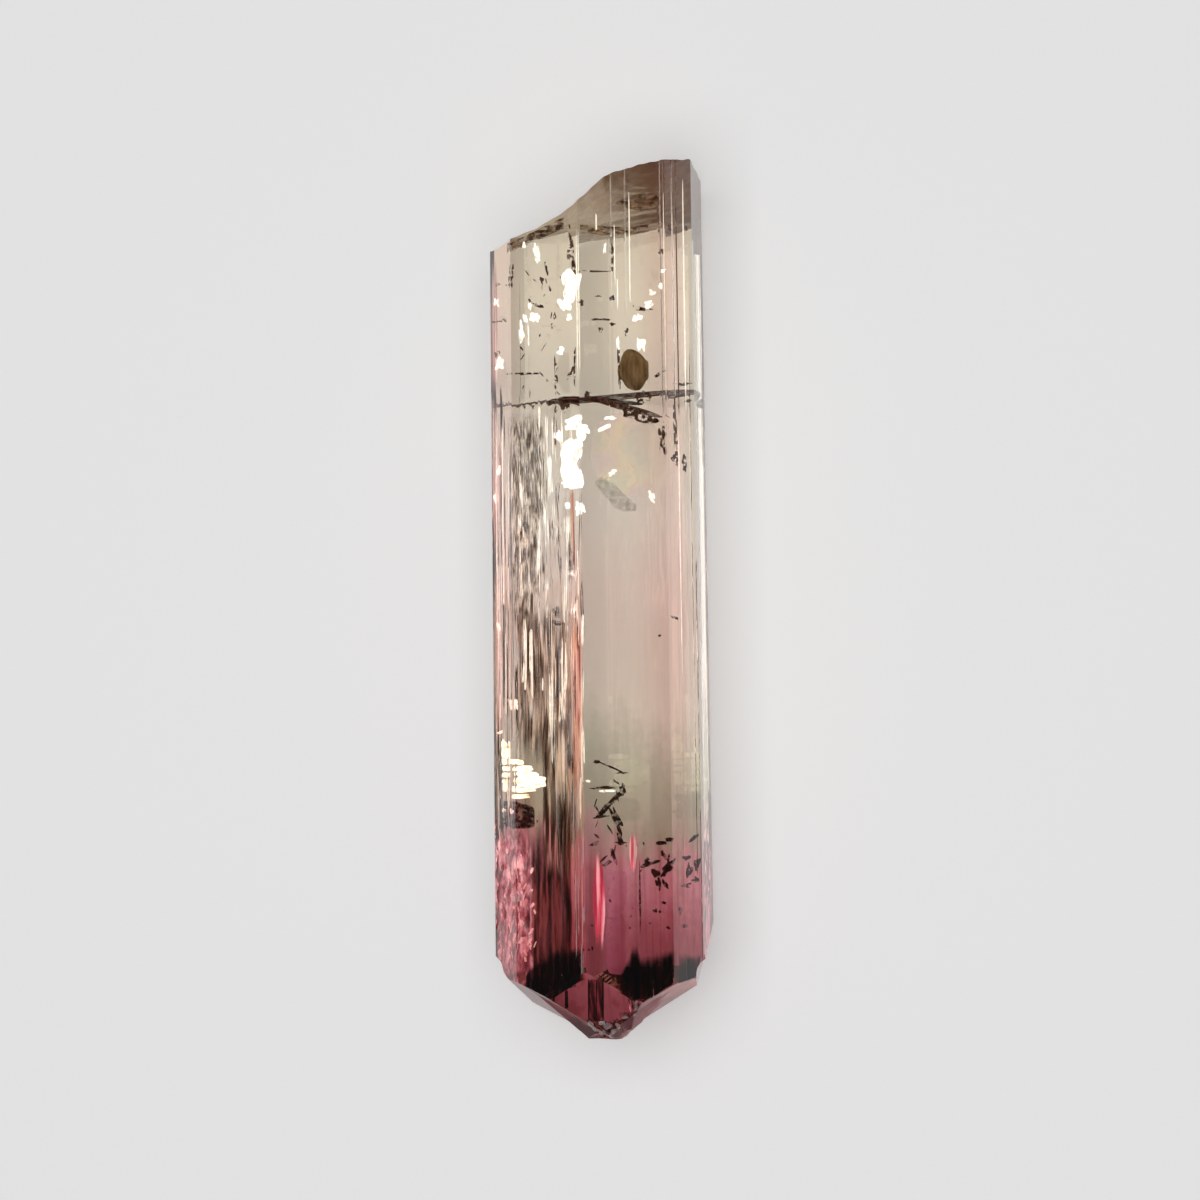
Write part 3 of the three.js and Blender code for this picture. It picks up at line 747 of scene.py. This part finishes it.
def sheet_piece(name, tables, deeper, near_fades=True, columns=48, turns=24):
    """Thin closed films under the upper faces, each from a table of: across, near end and far end along.

    Across is spread evenly, and the two ends are straight from one row of the table to the next. With turn
    round a flat oval, along is middle + half * cos(turn), and the height is that of the film plus half its
    thickness * sin(turn). The near end keeps clear of the pyramid. The two sides are closed by a fan. How far
    inside a point is falls to 0 at the sides and the far end, and at the near end too if that fades.
    """
    points, inside = [], []
    turn = 2 * np.pi * (np.arange(turns) + 0.5) / turns
    share = np.linspace(0, 1, columns)
    for table in tables:
        across, near, far = np.array(table, dtype=float).T
        x = across[0] + (across[-1] - across[0]) * share
        near, far = np.interp(x, across, near), np.interp(x, across, far)
        near = np.maximum(near, tip_along(x, skin(x, near, deeper)[2]) + PYRAMID_GAP)
        along = (near + far)[:, None] / 2 + (far - near)[:, None] / 2 * np.cos(turn)
        wide = np.repeat(x[:, None], turns, axis=1)
        height = skin(wide, along, deeper)[2] + FILM_THICK / 2 * np.sin(turn)
        film = np.stack([wide, along, height], axis=-1)
        past = np.abs(np.cos(turn)) if near_fades else np.maximum(np.cos(turn), 0)
        rim = np.minimum(1 - past[None, :], SIDE_FADE * np.minimum(share, 1 - share)[:, None])
        sides = film[[0, -1]].mean(axis=1)
        points.append(np.concatenate([film.reshape(-1, 3), sides]))
        inside.append(np.append(rim.ravel(), [0, 0]))
    first = (np.arange(len(tables)) * len(points[0]))[:, None, None]
    quads = (ring_quads(columns, turns)[None] + first).reshape(-1, 4)
    triangles = (ring_fans(columns, turns)[None] + first).reshape(-1, 3)
    return make_mesh(name, np.concatenate(points), quads, triangles, np.concatenate(inside))


def veil_piece(name, table, deeper=0.08, seed=13):
    """Thin oblong lenses just under the faces."""
    frames = under_skin(table, deeper)
    return lens_piece(name, frames, FILM_THICK, ragged=0.08, blunt=0.55, seed=seed, turns=48)


def chip_piece():
    """Splinters of broken crystal on the tip: lenses of two rings of five points, thick for their size.

    Each is sunk by a part of its size under the lowest pyramid face over its place.
    """
    rng = np.random.default_rng(31)
    count = len(TIP_CHIPS)
    x, along, size = np.array(TIP_CHIPS).T
    slopes = pyramid_slopes()
    facing = slopes[:, 1] > 0
    reach_up = (along[:, None] - PYRAMID[facing, 2] - x[:, None] * slopes[facing, 0]) / slopes[facing, 1]
    height = reach_up.min(axis=1) - CHIP_SUNK * size
    reach = rng.normal(0, 1, (count, 3))
    reach = reach / np.linalg.norm(reach, axis=1, keepdims=True)
    rise = np.cross(reach, rng.normal(0, 1, (count, 3)))
    rise = rise / np.linalg.norm(rise, axis=1, keepdims=True)
    middle = np.stack([x, along, height], axis=-1)
    frames = (middle, reach * size[:, None], rise * CHIP_WIDE * size[:, None])
    return lens_piece("tip_chips", frames, CHIP_THICK, ragged=0.5, seed=32, rows=2, turns=5)


# Materials

def new_material(name):
    """A material with its nodes, its links and its Principled shader."""
    material = bpy.data.materials.new(name)
    material.use_nodes = True
    nodes = material.node_tree.nodes
    return material, nodes, material.node_tree.links, nodes["Principled BSDF"]


def colour_ramp(nodes, stops):
    """A ramp node with a colour at each position."""
    ramp = nodes.new("ShaderNodeValToRGB")
    ends = ramp.color_ramp.elements
    for position, _ in stops[1:-1]:
        ends.new(position)
    for element, (position, colour) in zip(ends, stops):
        element.position = position
        element.color = (*colour, 1)
    return ramp


def noise(nodes, links, place, scale, detail, stretch=None):
    """Noise by place, with so many waves a metre; stretch shrinks the place first, so it is longer."""
    if stretch:
        mapping = nodes.new("ShaderNodeMapping")
        mapping.inputs["Scale"].default_value = stretch
        links.new(place, mapping.inputs["Vector"])
        place = mapping.outputs["Vector"]
    texture = nodes.new("ShaderNodeTexNoise")
    texture.inputs["Scale"].default_value = scale
    texture.inputs["Detail"].default_value = detail
    links.new(place, texture.inputs["Vector"])
    return texture.outputs["Fac"]


def strewn_noise(nodes, links, place, scale, detail, apart):
    """Noise by place, shifted by a distance, whose waves a metre come from a socket."""
    shifted = nodes.new("ShaderNodeVectorMath")
    shifted.inputs[1].default_value = (apart, apart, apart)
    links.new(place, shifted.inputs[0])
    texture = nodes.new("ShaderNodeTexNoise")
    texture.inputs["Detail"].default_value = detail
    links.new(shifted.outputs[0], texture.inputs["Vector"])
    links.new(scale, texture.inputs["Scale"])
    return texture.outputs["Fac"]


def smooth_range(nodes, links, value):
    """A node that carries a value from one range to another along an S curve, and holds it at the ends."""
    node = nodes.new("ShaderNodeMapRange")
    node.interpolation_type = "SMOOTHSTEP"
    links.new(value, node.inputs["Value"])
    return node


def mapped(nodes, links, value, low, high, to_low, to_high):
    """A value carried from one range to another along an S curve, and held at the ends."""
    node = smooth_range(nodes, links, value)
    for socket, number in zip(("From Min", "From Max", "To Min", "To Max"), (low, high, to_low, to_high)):
        node.inputs[socket].default_value = number
    return node.outputs["Result"]


def reckoned(nodes, links, operation, first, second):
    """Two values added or multiplied."""
    node = nodes.new("ShaderNodeMath")
    node.operation = operation
    links.new(first, node.inputs[0])
    links.new(second, node.inputs[1])
    return node.outputs[0]


def added(nodes, links, first, second):
    return reckoned(nodes, links, "ADD", first, second)


def multiplied(nodes, links, first, second):
    return reckoned(nodes, links, "MULTIPLY", first, second)


def multiply_mix(nodes, links, factor, colour):
    """A mix node that multiplies a colour by its second one, as far as the factor says."""
    node = nodes.new("ShaderNodeMix")
    node.data_type = "RGBA"
    node.blend_type = "MULTIPLY"
    links.new(factor, node.inputs["Factor"])
    links.new(colour, node.inputs["A"])
    return node


def tinted(nodes, links, factor, colour, tint):
    """A colour multiplied by a tint, as far as the factor says."""
    node = multiply_mix(nodes, links, factor, colour)
    node.inputs["B"].default_value = (*tint, 1)
    return node.outputs["Result"]


# The crystal's index, the colour and strength of its absorption, and how rough its chips and inclusions are
CRYSTAL_IOR = 1.63
ABSORBED_COLOUR, ABSORPTION = (0.78, 0.66, 0.52, 1), 60
CHIP_ROUGHNESS, CHIP_CLEAR, INNER_ROUGHNESS = 0.12, 0.7, 0.35
# Share of the way in from a piece's rim that stands for no fading
NO_FADE = 0.001
# Colours along the crystal, by share of its length from the tip
ZONE_STOPS = (
    (0.00, (0.40, 0.09, 0.12)), (0.12, (0.54, 0.15, 0.19)), (0.16, (0.78, 0.32, 0.39)),
    (0.195, (0.84, 0.41, 0.47)), (0.215, (0.60, 0.53, 0.42)), (0.29, (0.66, 0.65, 0.53)),
    (0.37, (0.99, 0.91, 0.82)),
    (0.50, (0.99, 0.88, 0.81)), (0.60, (0.99, 0.95, 0.88)), (0.70, (0.97, 0.92, 0.81)),
    (0.90, (0.96, 0.90, 0.76)), (1.00, (0.84, 0.68, 0.52)),
)


def zone_group():
    """Colour of the crystal by place: pink at the tip, then grey green, blush and pale khaki.

    It is pinker at the sides. Streaks, fine specks and the side of the crystal shift the change of colour
    along, so it is ragged.
    """
    group = bpy.data.node_groups.new("colour zones", "ShaderNodeTree")
    group.interface.new_socket("Color", in_out="OUTPUT", socket_type="NodeSocketColor")
    nodes, links = group.nodes, group.links
    place = nodes.new("ShaderNodeTexCoord").outputs["Object"]
    split = nodes.new("ShaderNodeSeparateXYZ")
    links.new(place, split.inputs[0])
    x, y, z = split.outputs
    streaks = noise(nodes, links, place, 2600, 2, (1, 0.12, 1))
    streaks = mapped(nodes, links, streaks, 0.3, 0.7, -0.35 * MM, 0.35 * MM)
    flecks = mapped(nodes, links, noise(nodes, links, place, 5200, 2), 0.3, 0.7, -0.15 * MM, 0.15 * MM)
    lean = mapped(nodes, links, x, -1.8 * MM, 0.4 * MM, -0.9 * MM, 0)
    shifted = added(nodes, links, added(nodes, links, y, streaks), added(nodes, links, flecks, lean))
    along = nodes.new("ShaderNodeMapRange")
    along.inputs["From Min"].default_value = TIP_Y * MM
    along.inputs["From Max"].default_value = (TIP_Y + LENGTH) * MM
    links.new(shifted, along.inputs["Value"])
    ramp = colour_ramp(nodes, ZONE_STOPS)
    links.new(along.outputs["Result"], ramp.inputs["Fac"])
    upper = mapped(nodes, links, z, (AXIS_HEIGHT - 0.2) * MM, (AXIS_HEIGHT + 0.4) * MM, 0, 1)
    colour = ramp.outputs["Color"]
    left_edge = multiplied(nodes, links, mapped(nodes, links, x, -1.9 * MM, -1.2 * MM, 0.8, 0), upper)
    colour = tinted(nodes, links, left_edge, colour, (0.98, 0.68, 0.68))
    low = mapped(nodes, links, shifted, (TIP_Y + 8) * MM, (TIP_Y + 11.5) * MM, 1, 0)
    panel = mapped(nodes, links, x, -0.4 * MM, -0.25 * MM, 0.8, 0)
    panel = multiplied(nodes, links, multiplied(nodes, links, panel, upper), low)
    colour = tinted(nodes, links, panel, colour, (0.82, 0.66, 0.60))
    ridge = mapped(nodes, links, z, (AXIS_HEIGHT + 2.16) * MM, (AXIS_HEIGHT + 2.26) * MM, 0, 1)
    ridge = multiplied(nodes, links, ridge, mapped(nodes, links, x, -0.06 * MM, 0.0, 1, 0))
    ridge = multiplied(nodes, links, ridge, low)
    colour = tinted(nodes, links, ridge, colour, (0.95, 0.50, 0.42))
    right = multiplied(nodes, links, mapped(nodes, links, x, 0.9 * MM, 1.7 * MM, 0, 0.95),
                       mapped(nodes, links, x, 1.9 * MM, 2.15 * MM, 1, 0))
    colour = tinted(nodes, links, right, colour, (0.87, 0.66, 0.65))
    pink = mapped(nodes, links, shifted, (TIP_Y + 3.7) * MM, (TIP_Y + 4.6) * MM, 1, 0)
    columns = mapped(nodes, links, noise(nodes, links, place, 3600, 2, (1, 0.04, 1)), 0.48, 0.66, 0, 0.8)
    colour = tinted(nodes, links, multiplied(nodes, links, columns, pink), colour, (0.62, 0.36, 0.34))
    out = nodes.new("NodeGroupOutput")
    links.new(colour, out.inputs["Color"])
    return group


def stain_group():
    """A colour multiplied by a tint, as far as a patchy noise by place says."""
    group = bpy.data.node_groups.new("stain", "ShaderNodeTree")
    group.interface.new_socket("Color", in_out="INPUT", socket_type="NodeSocketColor")
    group.interface.new_socket("Tint", in_out="INPUT", socket_type="NodeSocketColor")
    group.interface.new_socket("Color", in_out="OUTPUT", socket_type="NodeSocketColor")
    nodes, links = group.nodes, group.links
    inputs, outputs = nodes.new("NodeGroupInput"), nodes.new("NodeGroupOutput")
    place = nodes.new("ShaderNodeTexCoord").outputs["Object"]
    patches = mapped(nodes, links, noise(nodes, links, place, 3600, 4), 0.38, 0.6, 0.35, 1)
    mix = multiply_mix(nodes, links, patches, inputs.outputs["Color"])
    links.new(inputs.outputs["Tint"], mix.inputs["B"])
    links.new(mix.outputs["Result"], outputs.inputs["Color"])
    return group


def crystal_material(name, roughness, clear=1.0, tint=None):
    """Clear crystal: transmission coloured where light goes in and out, with absorption inside."""
    material, nodes, links, shader = new_material(name)
    zone = nodes.new("ShaderNodeGroup")
    zone.node_tree = zones
    colour = zone.outputs["Color"]
    if tint:
        stained = nodes.new("ShaderNodeGroup")
        stained.node_tree = stain
        stained.inputs["Tint"].default_value = (*tint, 1)
        links.new(colour, stained.inputs["Color"])
        colour = stained.outputs["Color"]
    links.new(colour, shader.inputs["Base Color"])
    shader.inputs["Roughness"].default_value = roughness
    shader.inputs["IOR"].default_value = CRYSTAL_IOR
    shader.inputs["Transmission Weight"].default_value = clear
    absorb = nodes.new("ShaderNodeVolumeAbsorption")
    absorb.inputs["Color"].default_value = ABSORBED_COLOUR
    absorb.inputs["Density"].default_value = ABSORPTION
    links.new(absorb.outputs[0], nodes["Material Output"].inputs["Volume"])
    return material


def chip_material(name, colour):
    """Clear broken crystal, a little rough and paler than the rest."""
    material, nodes, links, shader = new_material(name)
    shader.inputs["Base Color"].default_value = (*colour, 1)
    shader.inputs["Roughness"].default_value = CHIP_ROUGHNESS
    shader.inputs["IOR"].default_value = CRYSTAL_IOR
    shader.inputs["Transmission Weight"].default_value = CHIP_CLEAR
    return material


def mottle_group():
    """Two noise patterns by place: Scale is in waves a metre, and Stretch shrinks the place first.

    Pattern is the first. Cover follows the second in patches, from Clearest to Fullest, and falls to 0 at a
    piece's rim, from the share Fade of the way in.
    """
    group = bpy.data.node_groups.new("mottle", "ShaderNodeTree")
    for name in ("Scale", "Clearest", "Fullest", "Fade"):
        group.interface.new_socket(name, in_out="INPUT", socket_type="NodeSocketFloat")
    group.interface.new_socket("Stretch", in_out="INPUT", socket_type="NodeSocketVector")
    for name in ("Pattern", "Cover"):
        group.interface.new_socket(name, in_out="OUTPUT", socket_type="NodeSocketFloat")
    nodes, links = group.nodes, group.links
    inputs, outputs = nodes.new("NodeGroupInput"), nodes.new("NodeGroupOutput")
    place = nodes.new("ShaderNodeVectorMath")
    place.operation = "MULTIPLY"
    links.new(nodes.new("ShaderNodeTexCoord").outputs["Object"], place.inputs[0])
    links.new(inputs.outputs["Stretch"], place.inputs[1])
    pattern, patches = (strewn_noise(nodes, links, place.outputs[0], inputs.outputs["Scale"], detail, apart)
                        for detail, apart in ((3, 0.0), (2, 0.05)))
    cover = smooth_range(nodes, links, patches)
    cover.inputs["From Min"].default_value = 0.35
    cover.inputs["From Max"].default_value = 0.65
    links.new(inputs.outputs["Clearest"], cover.inputs["To Min"])
    links.new(inputs.outputs["Fullest"], cover.inputs["To Max"])
    inside = nodes.new("ShaderNodeAttribute")
    inside.attribute_name = "inside"
    rim = smooth_range(nodes, links, inside.outputs["Fac"])
    links.new(inputs.outputs["Fade"], rim.inputs["From Max"])
    faded = multiplied(nodes, links, cover.outputs["Result"], rim.outputs["Result"])
    links.new(pattern, outputs.inputs["Pattern"])
    links.new(faded, outputs.inputs["Cover"])
    return group


def inner_material(name, stops, waves, glow, cover=None, stretch=(1, 1, 1), fade=NO_FADE):
    """A fracture or inclusion: colours strewn by noise, with a little painted glow for the light that it
    mirrors and that reaches it.

    Cover, if there is one, gives how clear and how full its patches are. The faint glow isn't sampled as a
    lamp, and shadow rays aren't followed through the patches, because the crystal round them stops those.
    """
    material, nodes, links, shader = new_material(name)
    pattern = nodes.new("ShaderNodeGroup")
    pattern.node_tree = mottle
    pattern.inputs["Scale"].default_value = waves
    pattern.inputs["Stretch"].default_value = stretch
    ramp = colour_ramp(nodes, stops)
    links.new(pattern.outputs["Pattern"], ramp.inputs["Fac"])
    links.new(ramp.outputs["Color"], shader.inputs["Base Color"])
    shader.inputs["Roughness"].default_value = INNER_ROUGHNESS
    shader.inputs["Specular IOR Level"].default_value = 0
    if glow:
        links.new(ramp.outputs["Color"], shader.inputs["Emission Color"])
        shader.inputs["Emission Strength"].default_value = glow
        material.cycles.emission_sampling = "NONE"
    if cover:
        pattern.inputs["Clearest"].default_value, pattern.inputs["Fullest"].default_value = cover
        pattern.inputs["Fade"].default_value = fade
        links.new(pattern.outputs["Cover"], shader.inputs["Alpha"])
        material.use_transparent_shadow = False
    return material


# Floor, light and camera

# Half the floor's side, how far it lies under the crystal, and its own glow
FLOOR_SIZE, FLOOR_DROP, FLOOR_GLOW = 250, -0.06, 0.34
# The lamp's height, side and power, and the strength of the light from all round
LAMP_HEIGHT, LAMP_SIZE, LAMP_POWER, ROUND_LIGHT = 180, 160, 0.188, 0.06
# The picture's side in pixels, and one pixel's size at the crystal; the camera's distance, sensor, sideways
# tilt and roll in degrees, and how far across it aims
PICTURE_PIXELS, PIXEL_SIZE = 1200, 0.021615
CAMERA_DISTANCE, SENSOR, CAMERA_TILT, CAMERA_ROLL, AIM_ACROSS = 200, 36, 8, 0.75, 0.043


def floor_piece():
    """A plain pale floor, a hair under the crystal so that the two don't share a plane."""
    size, drop = FLOOR_SIZE * MM, FLOOR_DROP * MM
    corners = [(-size, -size, drop), (size, -size, drop), (size, size, drop), (-size, size, drop)]
    mesh = bpy.data.meshes.new("floor")
    mesh.from_pydata(corners, [], [(0, 1, 2, 3)])
    floor = bpy.data.objects.new("floor", mesh)
    bpy.context.scene.collection.objects.link(floor)
    material, nodes, links, shader = new_material("floor")
    shader.inputs["Base Color"].default_value = (0.8, 0.8, 0.8, 1)
    shader.inputs["Roughness"].default_value = 0.9
    shader.inputs["Specular IOR Level"].default_value = 0
    shader.inputs["Emission Color"].default_value = (1, 1, 1, 1)
    shader.inputs["Emission Strength"].default_value = FLOOR_GLOW
    mesh.materials.append(material)


def soft_light(name, place, aim, size, power):
    """A rectangular area lamp at a place, turned to shine at another."""
    lamp = bpy.data.lights.new(name, "AREA")
    lamp.shape = "RECTANGLE"
    lamp.size, lamp.size_y = size[0] * MM, size[1] * MM
    lamp.energy = power
    lit = bpy.data.objects.new(name, lamp)
    lit.location = Vector(place) * MM
    lit.rotation_mode = "QUATERNION"
    lit.rotation_quaternion = (Vector(aim) - Vector(place)).to_track_quat("-Z", "Y")
    bpy.context.scene.collection.objects.link(lit)


def studio():
    """A dim white world, one soft lamp overhead and the floor."""
    scene = bpy.context.scene
    world = bpy.data.worlds.new("studio")
    world.use_nodes = True
    world.node_tree.nodes["Background"].inputs["Color"].default_value = (1, 1, 1, 1)
    world.node_tree.nodes["Background"].inputs["Strength"].default_value = ROUND_LIGHT
    scene.world = world
    soft_light("overhead", (0, 0, LAMP_HEIGHT), (0, 0, 0), (LAMP_SIZE, LAMP_SIZE), LAMP_POWER)
    scene.view_settings.view_transform = "Standard"
    floor_piece()


def camera():
    """Looks down on the crystal, a little from its +X side, with the broken end at the top of the picture."""
    tilt, roll = math.radians(CAMERA_TILT), math.radians(CAMERA_ROLL)
    data = bpy.data.cameras.new("camera")
    data.sensor_width = SENSOR
    data.lens = SENSOR * CAMERA_DISTANCE / (PICTURE_PIXELS * PIXEL_SIZE)
    data.clip_start, data.clip_end = 0.001, 10
    back = Vector((math.sin(tilt), 0, math.cos(tilt)))
    up = Vector((0, 1, 0))
    right = up.cross(back)
    turned = Matrix((right, up, back)).transposed().to_4x4() @ Matrix.Rotation(-roll, 4, "Z")
    cam = bpy.data.objects.new("camera", data)
    aim = Vector((AIM_ACROSS, 0, AXIS_HEIGHT)) * MM
    cam.matrix_world = Matrix.Translation(aim + back * CAMERA_DISTANCE * MM) @ turned
    bpy.context.scene.collection.objects.link(cam)
    bpy.context.scene.camera = cam


def dress(piece, *materials):
    """Gives a piece its materials, and says that it is part of the crystal and moves with it."""
    for material in materials:
        piece.data.materials.append(material)
    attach(piece, "root")


zones, stain, mottle = zone_group(), stain_group(), mottle_group()
body, surface = crystal_piece()
dress(body, crystal_material("clear_crystal", 0.0),
      crystal_material("broken_crystal", 0.3, 0.5, (0.80, 0.56, 0.36)),
      crystal_material("frosted_crystal", 0.3, 0.8, (0.80, 0.72, 0.70)))
body.data.polygons.foreach_set("material_index", surface)
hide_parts("crystal")

# Colours of the fractures and inclusions, and of the painted shadows and highlights among them, by their
# noise
WHITE = ((0.3, (1.0, 0.95, 0.84)), (0.7, (1.0, 0.99, 0.95)))
PALE_YELLOW = ((0.3, (0.62, 0.50, 0.24)), (0.42, (1.0, 0.96, 0.74)), (0.7, (1.0, 0.99, 0.90)))
WINE = ((0.35, (0.035, 0.012, 0.009)), (0.65, (0.17, 0.07, 0.045)))
NEEDLE_WINE = ((0.35, (0.05, 0.016, 0.014)), (0.65, (0.26, 0.11, 0.09)))
SPECK_BROWN = ((0.35, (0.06, 0.025, 0.016)), (0.65, (0.30, 0.16, 0.10)))
CRACK_BROWN = ((0.38, (0.045, 0.012, 0.009)), (0.52, (0.15, 0.050, 0.034)), (0.62, (0.42, 0.20, 0.14)))
BROWN = ((0.3, (0.10, 0.055, 0.02)), (0.55, (0.24, 0.15, 0.07)), (0.75, (0.38, 0.27, 0.15)))
RAINBOW = ((0.3, (0.75, 0.82, 0.62)), (0.45, (0.92, 0.78, 0.55)), (0.55, (0.86, 0.66, 0.62)),
           (0.7, (0.72, 0.72, 0.82)))
GREY = ((0.42, (0.44, 0.42, 0.36)), (0.60, (0.58, 0.55, 0.48)))
LILAC = ((0.35, (0.60, 0.27, 0.36)), (0.65, (0.74, 0.42, 0.52)))
RED = ((0.40, (0.45, 0.06, 0.10)), (0.48, (0.80, 0.16, 0.22)), (0.56, (1.0, 0.72, 0.72)))
SILVERY_SHEEN = ((0.41, (0.10, 0.072, 0.055)), (0.50, (0.29, 0.225, 0.18)), (0.60, (0.95, 0.88, 0.79)))
STRIPES = ((0.41, (0.060, 0.032, 0.020)), (0.50, (0.26, 0.160, 0.115)), (0.61, (0.95, 0.80, 0.69)))
DEEP = ((0.41, (0.030, 0.012, 0.008)), (0.52, (0.15, 0.055, 0.042)), (0.62, (0.48, 0.22, 0.19)))
SHADOW_BLACK = ((0.42, (0.003, 0.001, 0.001)), (0.56, (0.03, 0.006, 0.006)), (0.66, (0.14, 0.03, 0.035)))
SHADOW_WINE = ((0.40, (0.01, 0.002, 0.002)), (0.60, (0.09, 0.02, 0.022)))
ARCH_WINE = ((0.42, (0.05, 0.006, 0.008)), (0.52, (0.18, 0.035, 0.04)), (0.62, (0.50, 0.14, 0.16)))
CHIP_PINK = (0.86, 0.66, 0.64)
SHADE_BROWN = ((0.42, (0.012, 0.006, 0.003)), (0.52, (0.05, 0.026, 0.014)), (0.62, (0.35, 0.24, 0.15)))
UMBER = ((0.40, (0.07, 0.035, 0.018)), (0.52, (0.22, 0.13, 0.075)), (0.62, (0.45, 0.33, 0.22)))
SPARKLING = ((0.40, (0.30, 0.13, 0.15)), (0.5, (0.68, 0.38, 0.43)), (0.60, (1.0, 0.88, 0.88)))
BLUSH = ((0.35, (0.55, 0.28, 0.26)), (0.5, (0.85, 0.60, 0.56)), (0.65, (1.0, 0.92, 0.88)))
ORANGE = ((0.35, (0.30, 0.08, 0.06)), (0.5, (0.62, 0.27, 0.20)), (0.62, (0.95, 0.70, 0.55)))

dress(chip_piece(), chip_material("chip_pink", CHIP_PINK))
# Each inner piece, and its material's name, colours, waves a metre, glow, cover, stretch and fade
INNER_PIECES = (
    (lens_piece("bright_feathers", under_skin(FEATHERS), 0.02, ragged=0.5, blunt=0.8, seed=5),
     "feather_white", WHITE, 9000, 1.2, (0.2, 2.6), (1, 0.7, 1)),
    (lens_piece("fracture_plates", under_skin(PLATES), 0.02, ragged=0.18, blunt=0.7, seed=6),
     "plate_yellow", PALE_YELLOW, 5000, 2.2, None, (0.4, 2.0, 1)),
    (lens_piece("dark_splinters", under_skin(SPLINTERS, 0.03), 0.02, ragged=0.5, seed=7),
     "splinter_wine", WINE, 9000, 0, (0.2, 1.6)),
    (lens_piece("tip_lines", under_tip(TIP_LINES), 0.02, ragged=0.1, blunt=0.6, seed=15),
     "line_wine", WINE, 6000, 0),
    (lens_piece("brown_specks", under_skin(SPECKS, 0.03), 0.02, ragged=0.5, seed=17),
     "speck_brown", SPECK_BROWN, 9000, 0, (-0.4, 1.7)),
    (crack_piece(), "crack_brown", CRACK_BROWN, 7000, 0, (0.1, 1.2), (0.5, 1, 1)),
    (lens_piece("dark_needles", strewn(DARK_STREWN, 21), 0.012, ragged=0.35, seed=21, rows=5, turns=12),
     "needle_wine", NEEDLE_WINE, 2600, 0, (0.25, 1.0)),
    (bright_needle_piece(), "needle_white", WHITE, 4000, 0.75, (0.55, 1.0)),
    (grain_piece(), "grain_brown", BROWN, 5000, 0.35, None, (1.5, 0.3, 1)),
    (rainbow_piece(), "film_rainbow", RAINBOW, 1100, 0.45, (0.05, 0.35)),
    (veil_piece("lilac_film", LILAC_PLACES, 0.02), "film_lilac", LILAC, 1500, 0.3, (0.3, 0.6), (1, 0.3, 1)),
    (sheet_piece("grey_film", GREY_CRESCENT, 0.1),
     "film_grey", GREY, 9000, 0.2, (0.15, 0.4), (1, 1, 1), 0.3),
    (sheet_piece("red_streaks", RED_LINES, 0.02),
     "streak_red", RED, 8000, 0.7, (0.35, 1.0), (1, 0.05, 1), 0.5),
    # Painted sheen: the veils of tubes at the top left get bright silvery stops and a glow that stand in for
    # light off them.
    (sheet_piece("sheen_veil", SILVER, 0.08),
     "veil_silver", SILVERY_SHEEN, 19000, 0.4, (0.40, 0.90), (1, 0.14, 1), 0.3),
    (sheet_piece("striped_veil", STRIPED, 0.08),
     "veil_striped", STRIPES, 12000, 0.4, (0.40, 0.95), (1, 0.06, 1), 0.4),
    (sheet_piece("wine_veil", DEEP_WINE, 0.09, False),
     "veil_wine", DEEP, 9000, 0.3, (0.50, 1.0), (1, 0.09, 1), 0.6),
    (lens_piece("tip_band", under_tip(TIP_BAND), 0.012, ragged=0.03, blunt=0.35, seed=14, turns=48),
     "band_wine", ARCH_WINE, 12000, 0.3, (0.45, 0.85), (1, 0.04, 0.04), 0.1),
    # Painted shadows: black films that stand in for the dark reflections where the pyramid's far faces mirror
    # the dark inside of the crystal.
    (sheet_piece("tip_painted_shadow", TIP_SHADOW, 0.02, False),
     "veil_black", SHADOW_BLACK, 9000, 0, (0.6, 1.1), (1, 0.12, 1), 0.65),
    # Painted shadow: a dark wine film low on the right shoulder, by the pyramid.
    (sheet_piece("shoulder_painted_shadow", SHOULDER_SHADOW, 0.02, False),
     "veil_dark_wine", SHADOW_WINE, 9000, 0, (0.6, 1.0), (1, 0.08, 1), 0.8),
    # Painted shade: a dark brown film under the plates.
    (sheet_piece("plate_painted_shade", PLATE_SHADOW, 0.04),
     "veil_dark_brown", SHADE_BROWN, 9000, 0.2, (0.3, 1.3), (0.7, 1.4, 1), 0.15),
    # Darker brown bands by the break's rim.
    (sheet_piece("break_rim_bands", BREAK_BROWN, 0.02),
     "veil_umber", UMBER, 8000, 0.3, (0.1, 1.3), (0.3, 1.4, 1), 0.4),
    # Painted sparkle: the pink film's palest stops and its glow stand in for glints of light on the rough
    # growth.
    (sheet_piece("pink_veil", PALE_PINK, 0.08, False),
     "veil_pink", SPARKLING, 7000, 0.6, (0.35, 0.8), (1, 0.5, 1), 0.4),
    (veil_piece("edge_veil", EDGE_PINK), "veil_blush", BLUSH, 11000, 0.5, (0.2, 0.6), (1, 0.03, 1), 0.4),
    (veil_piece("ridge_veil", RIDGE_RED, -0.06),
     "veil_orange", ORANGE, 12000, 0.45, (0.4, 0.9), (1, 0.04, 1), 0.3),
)
for piece, *look in INNER_PIECES:
    dress(piece, inner_material(*look))

studio()
camera()
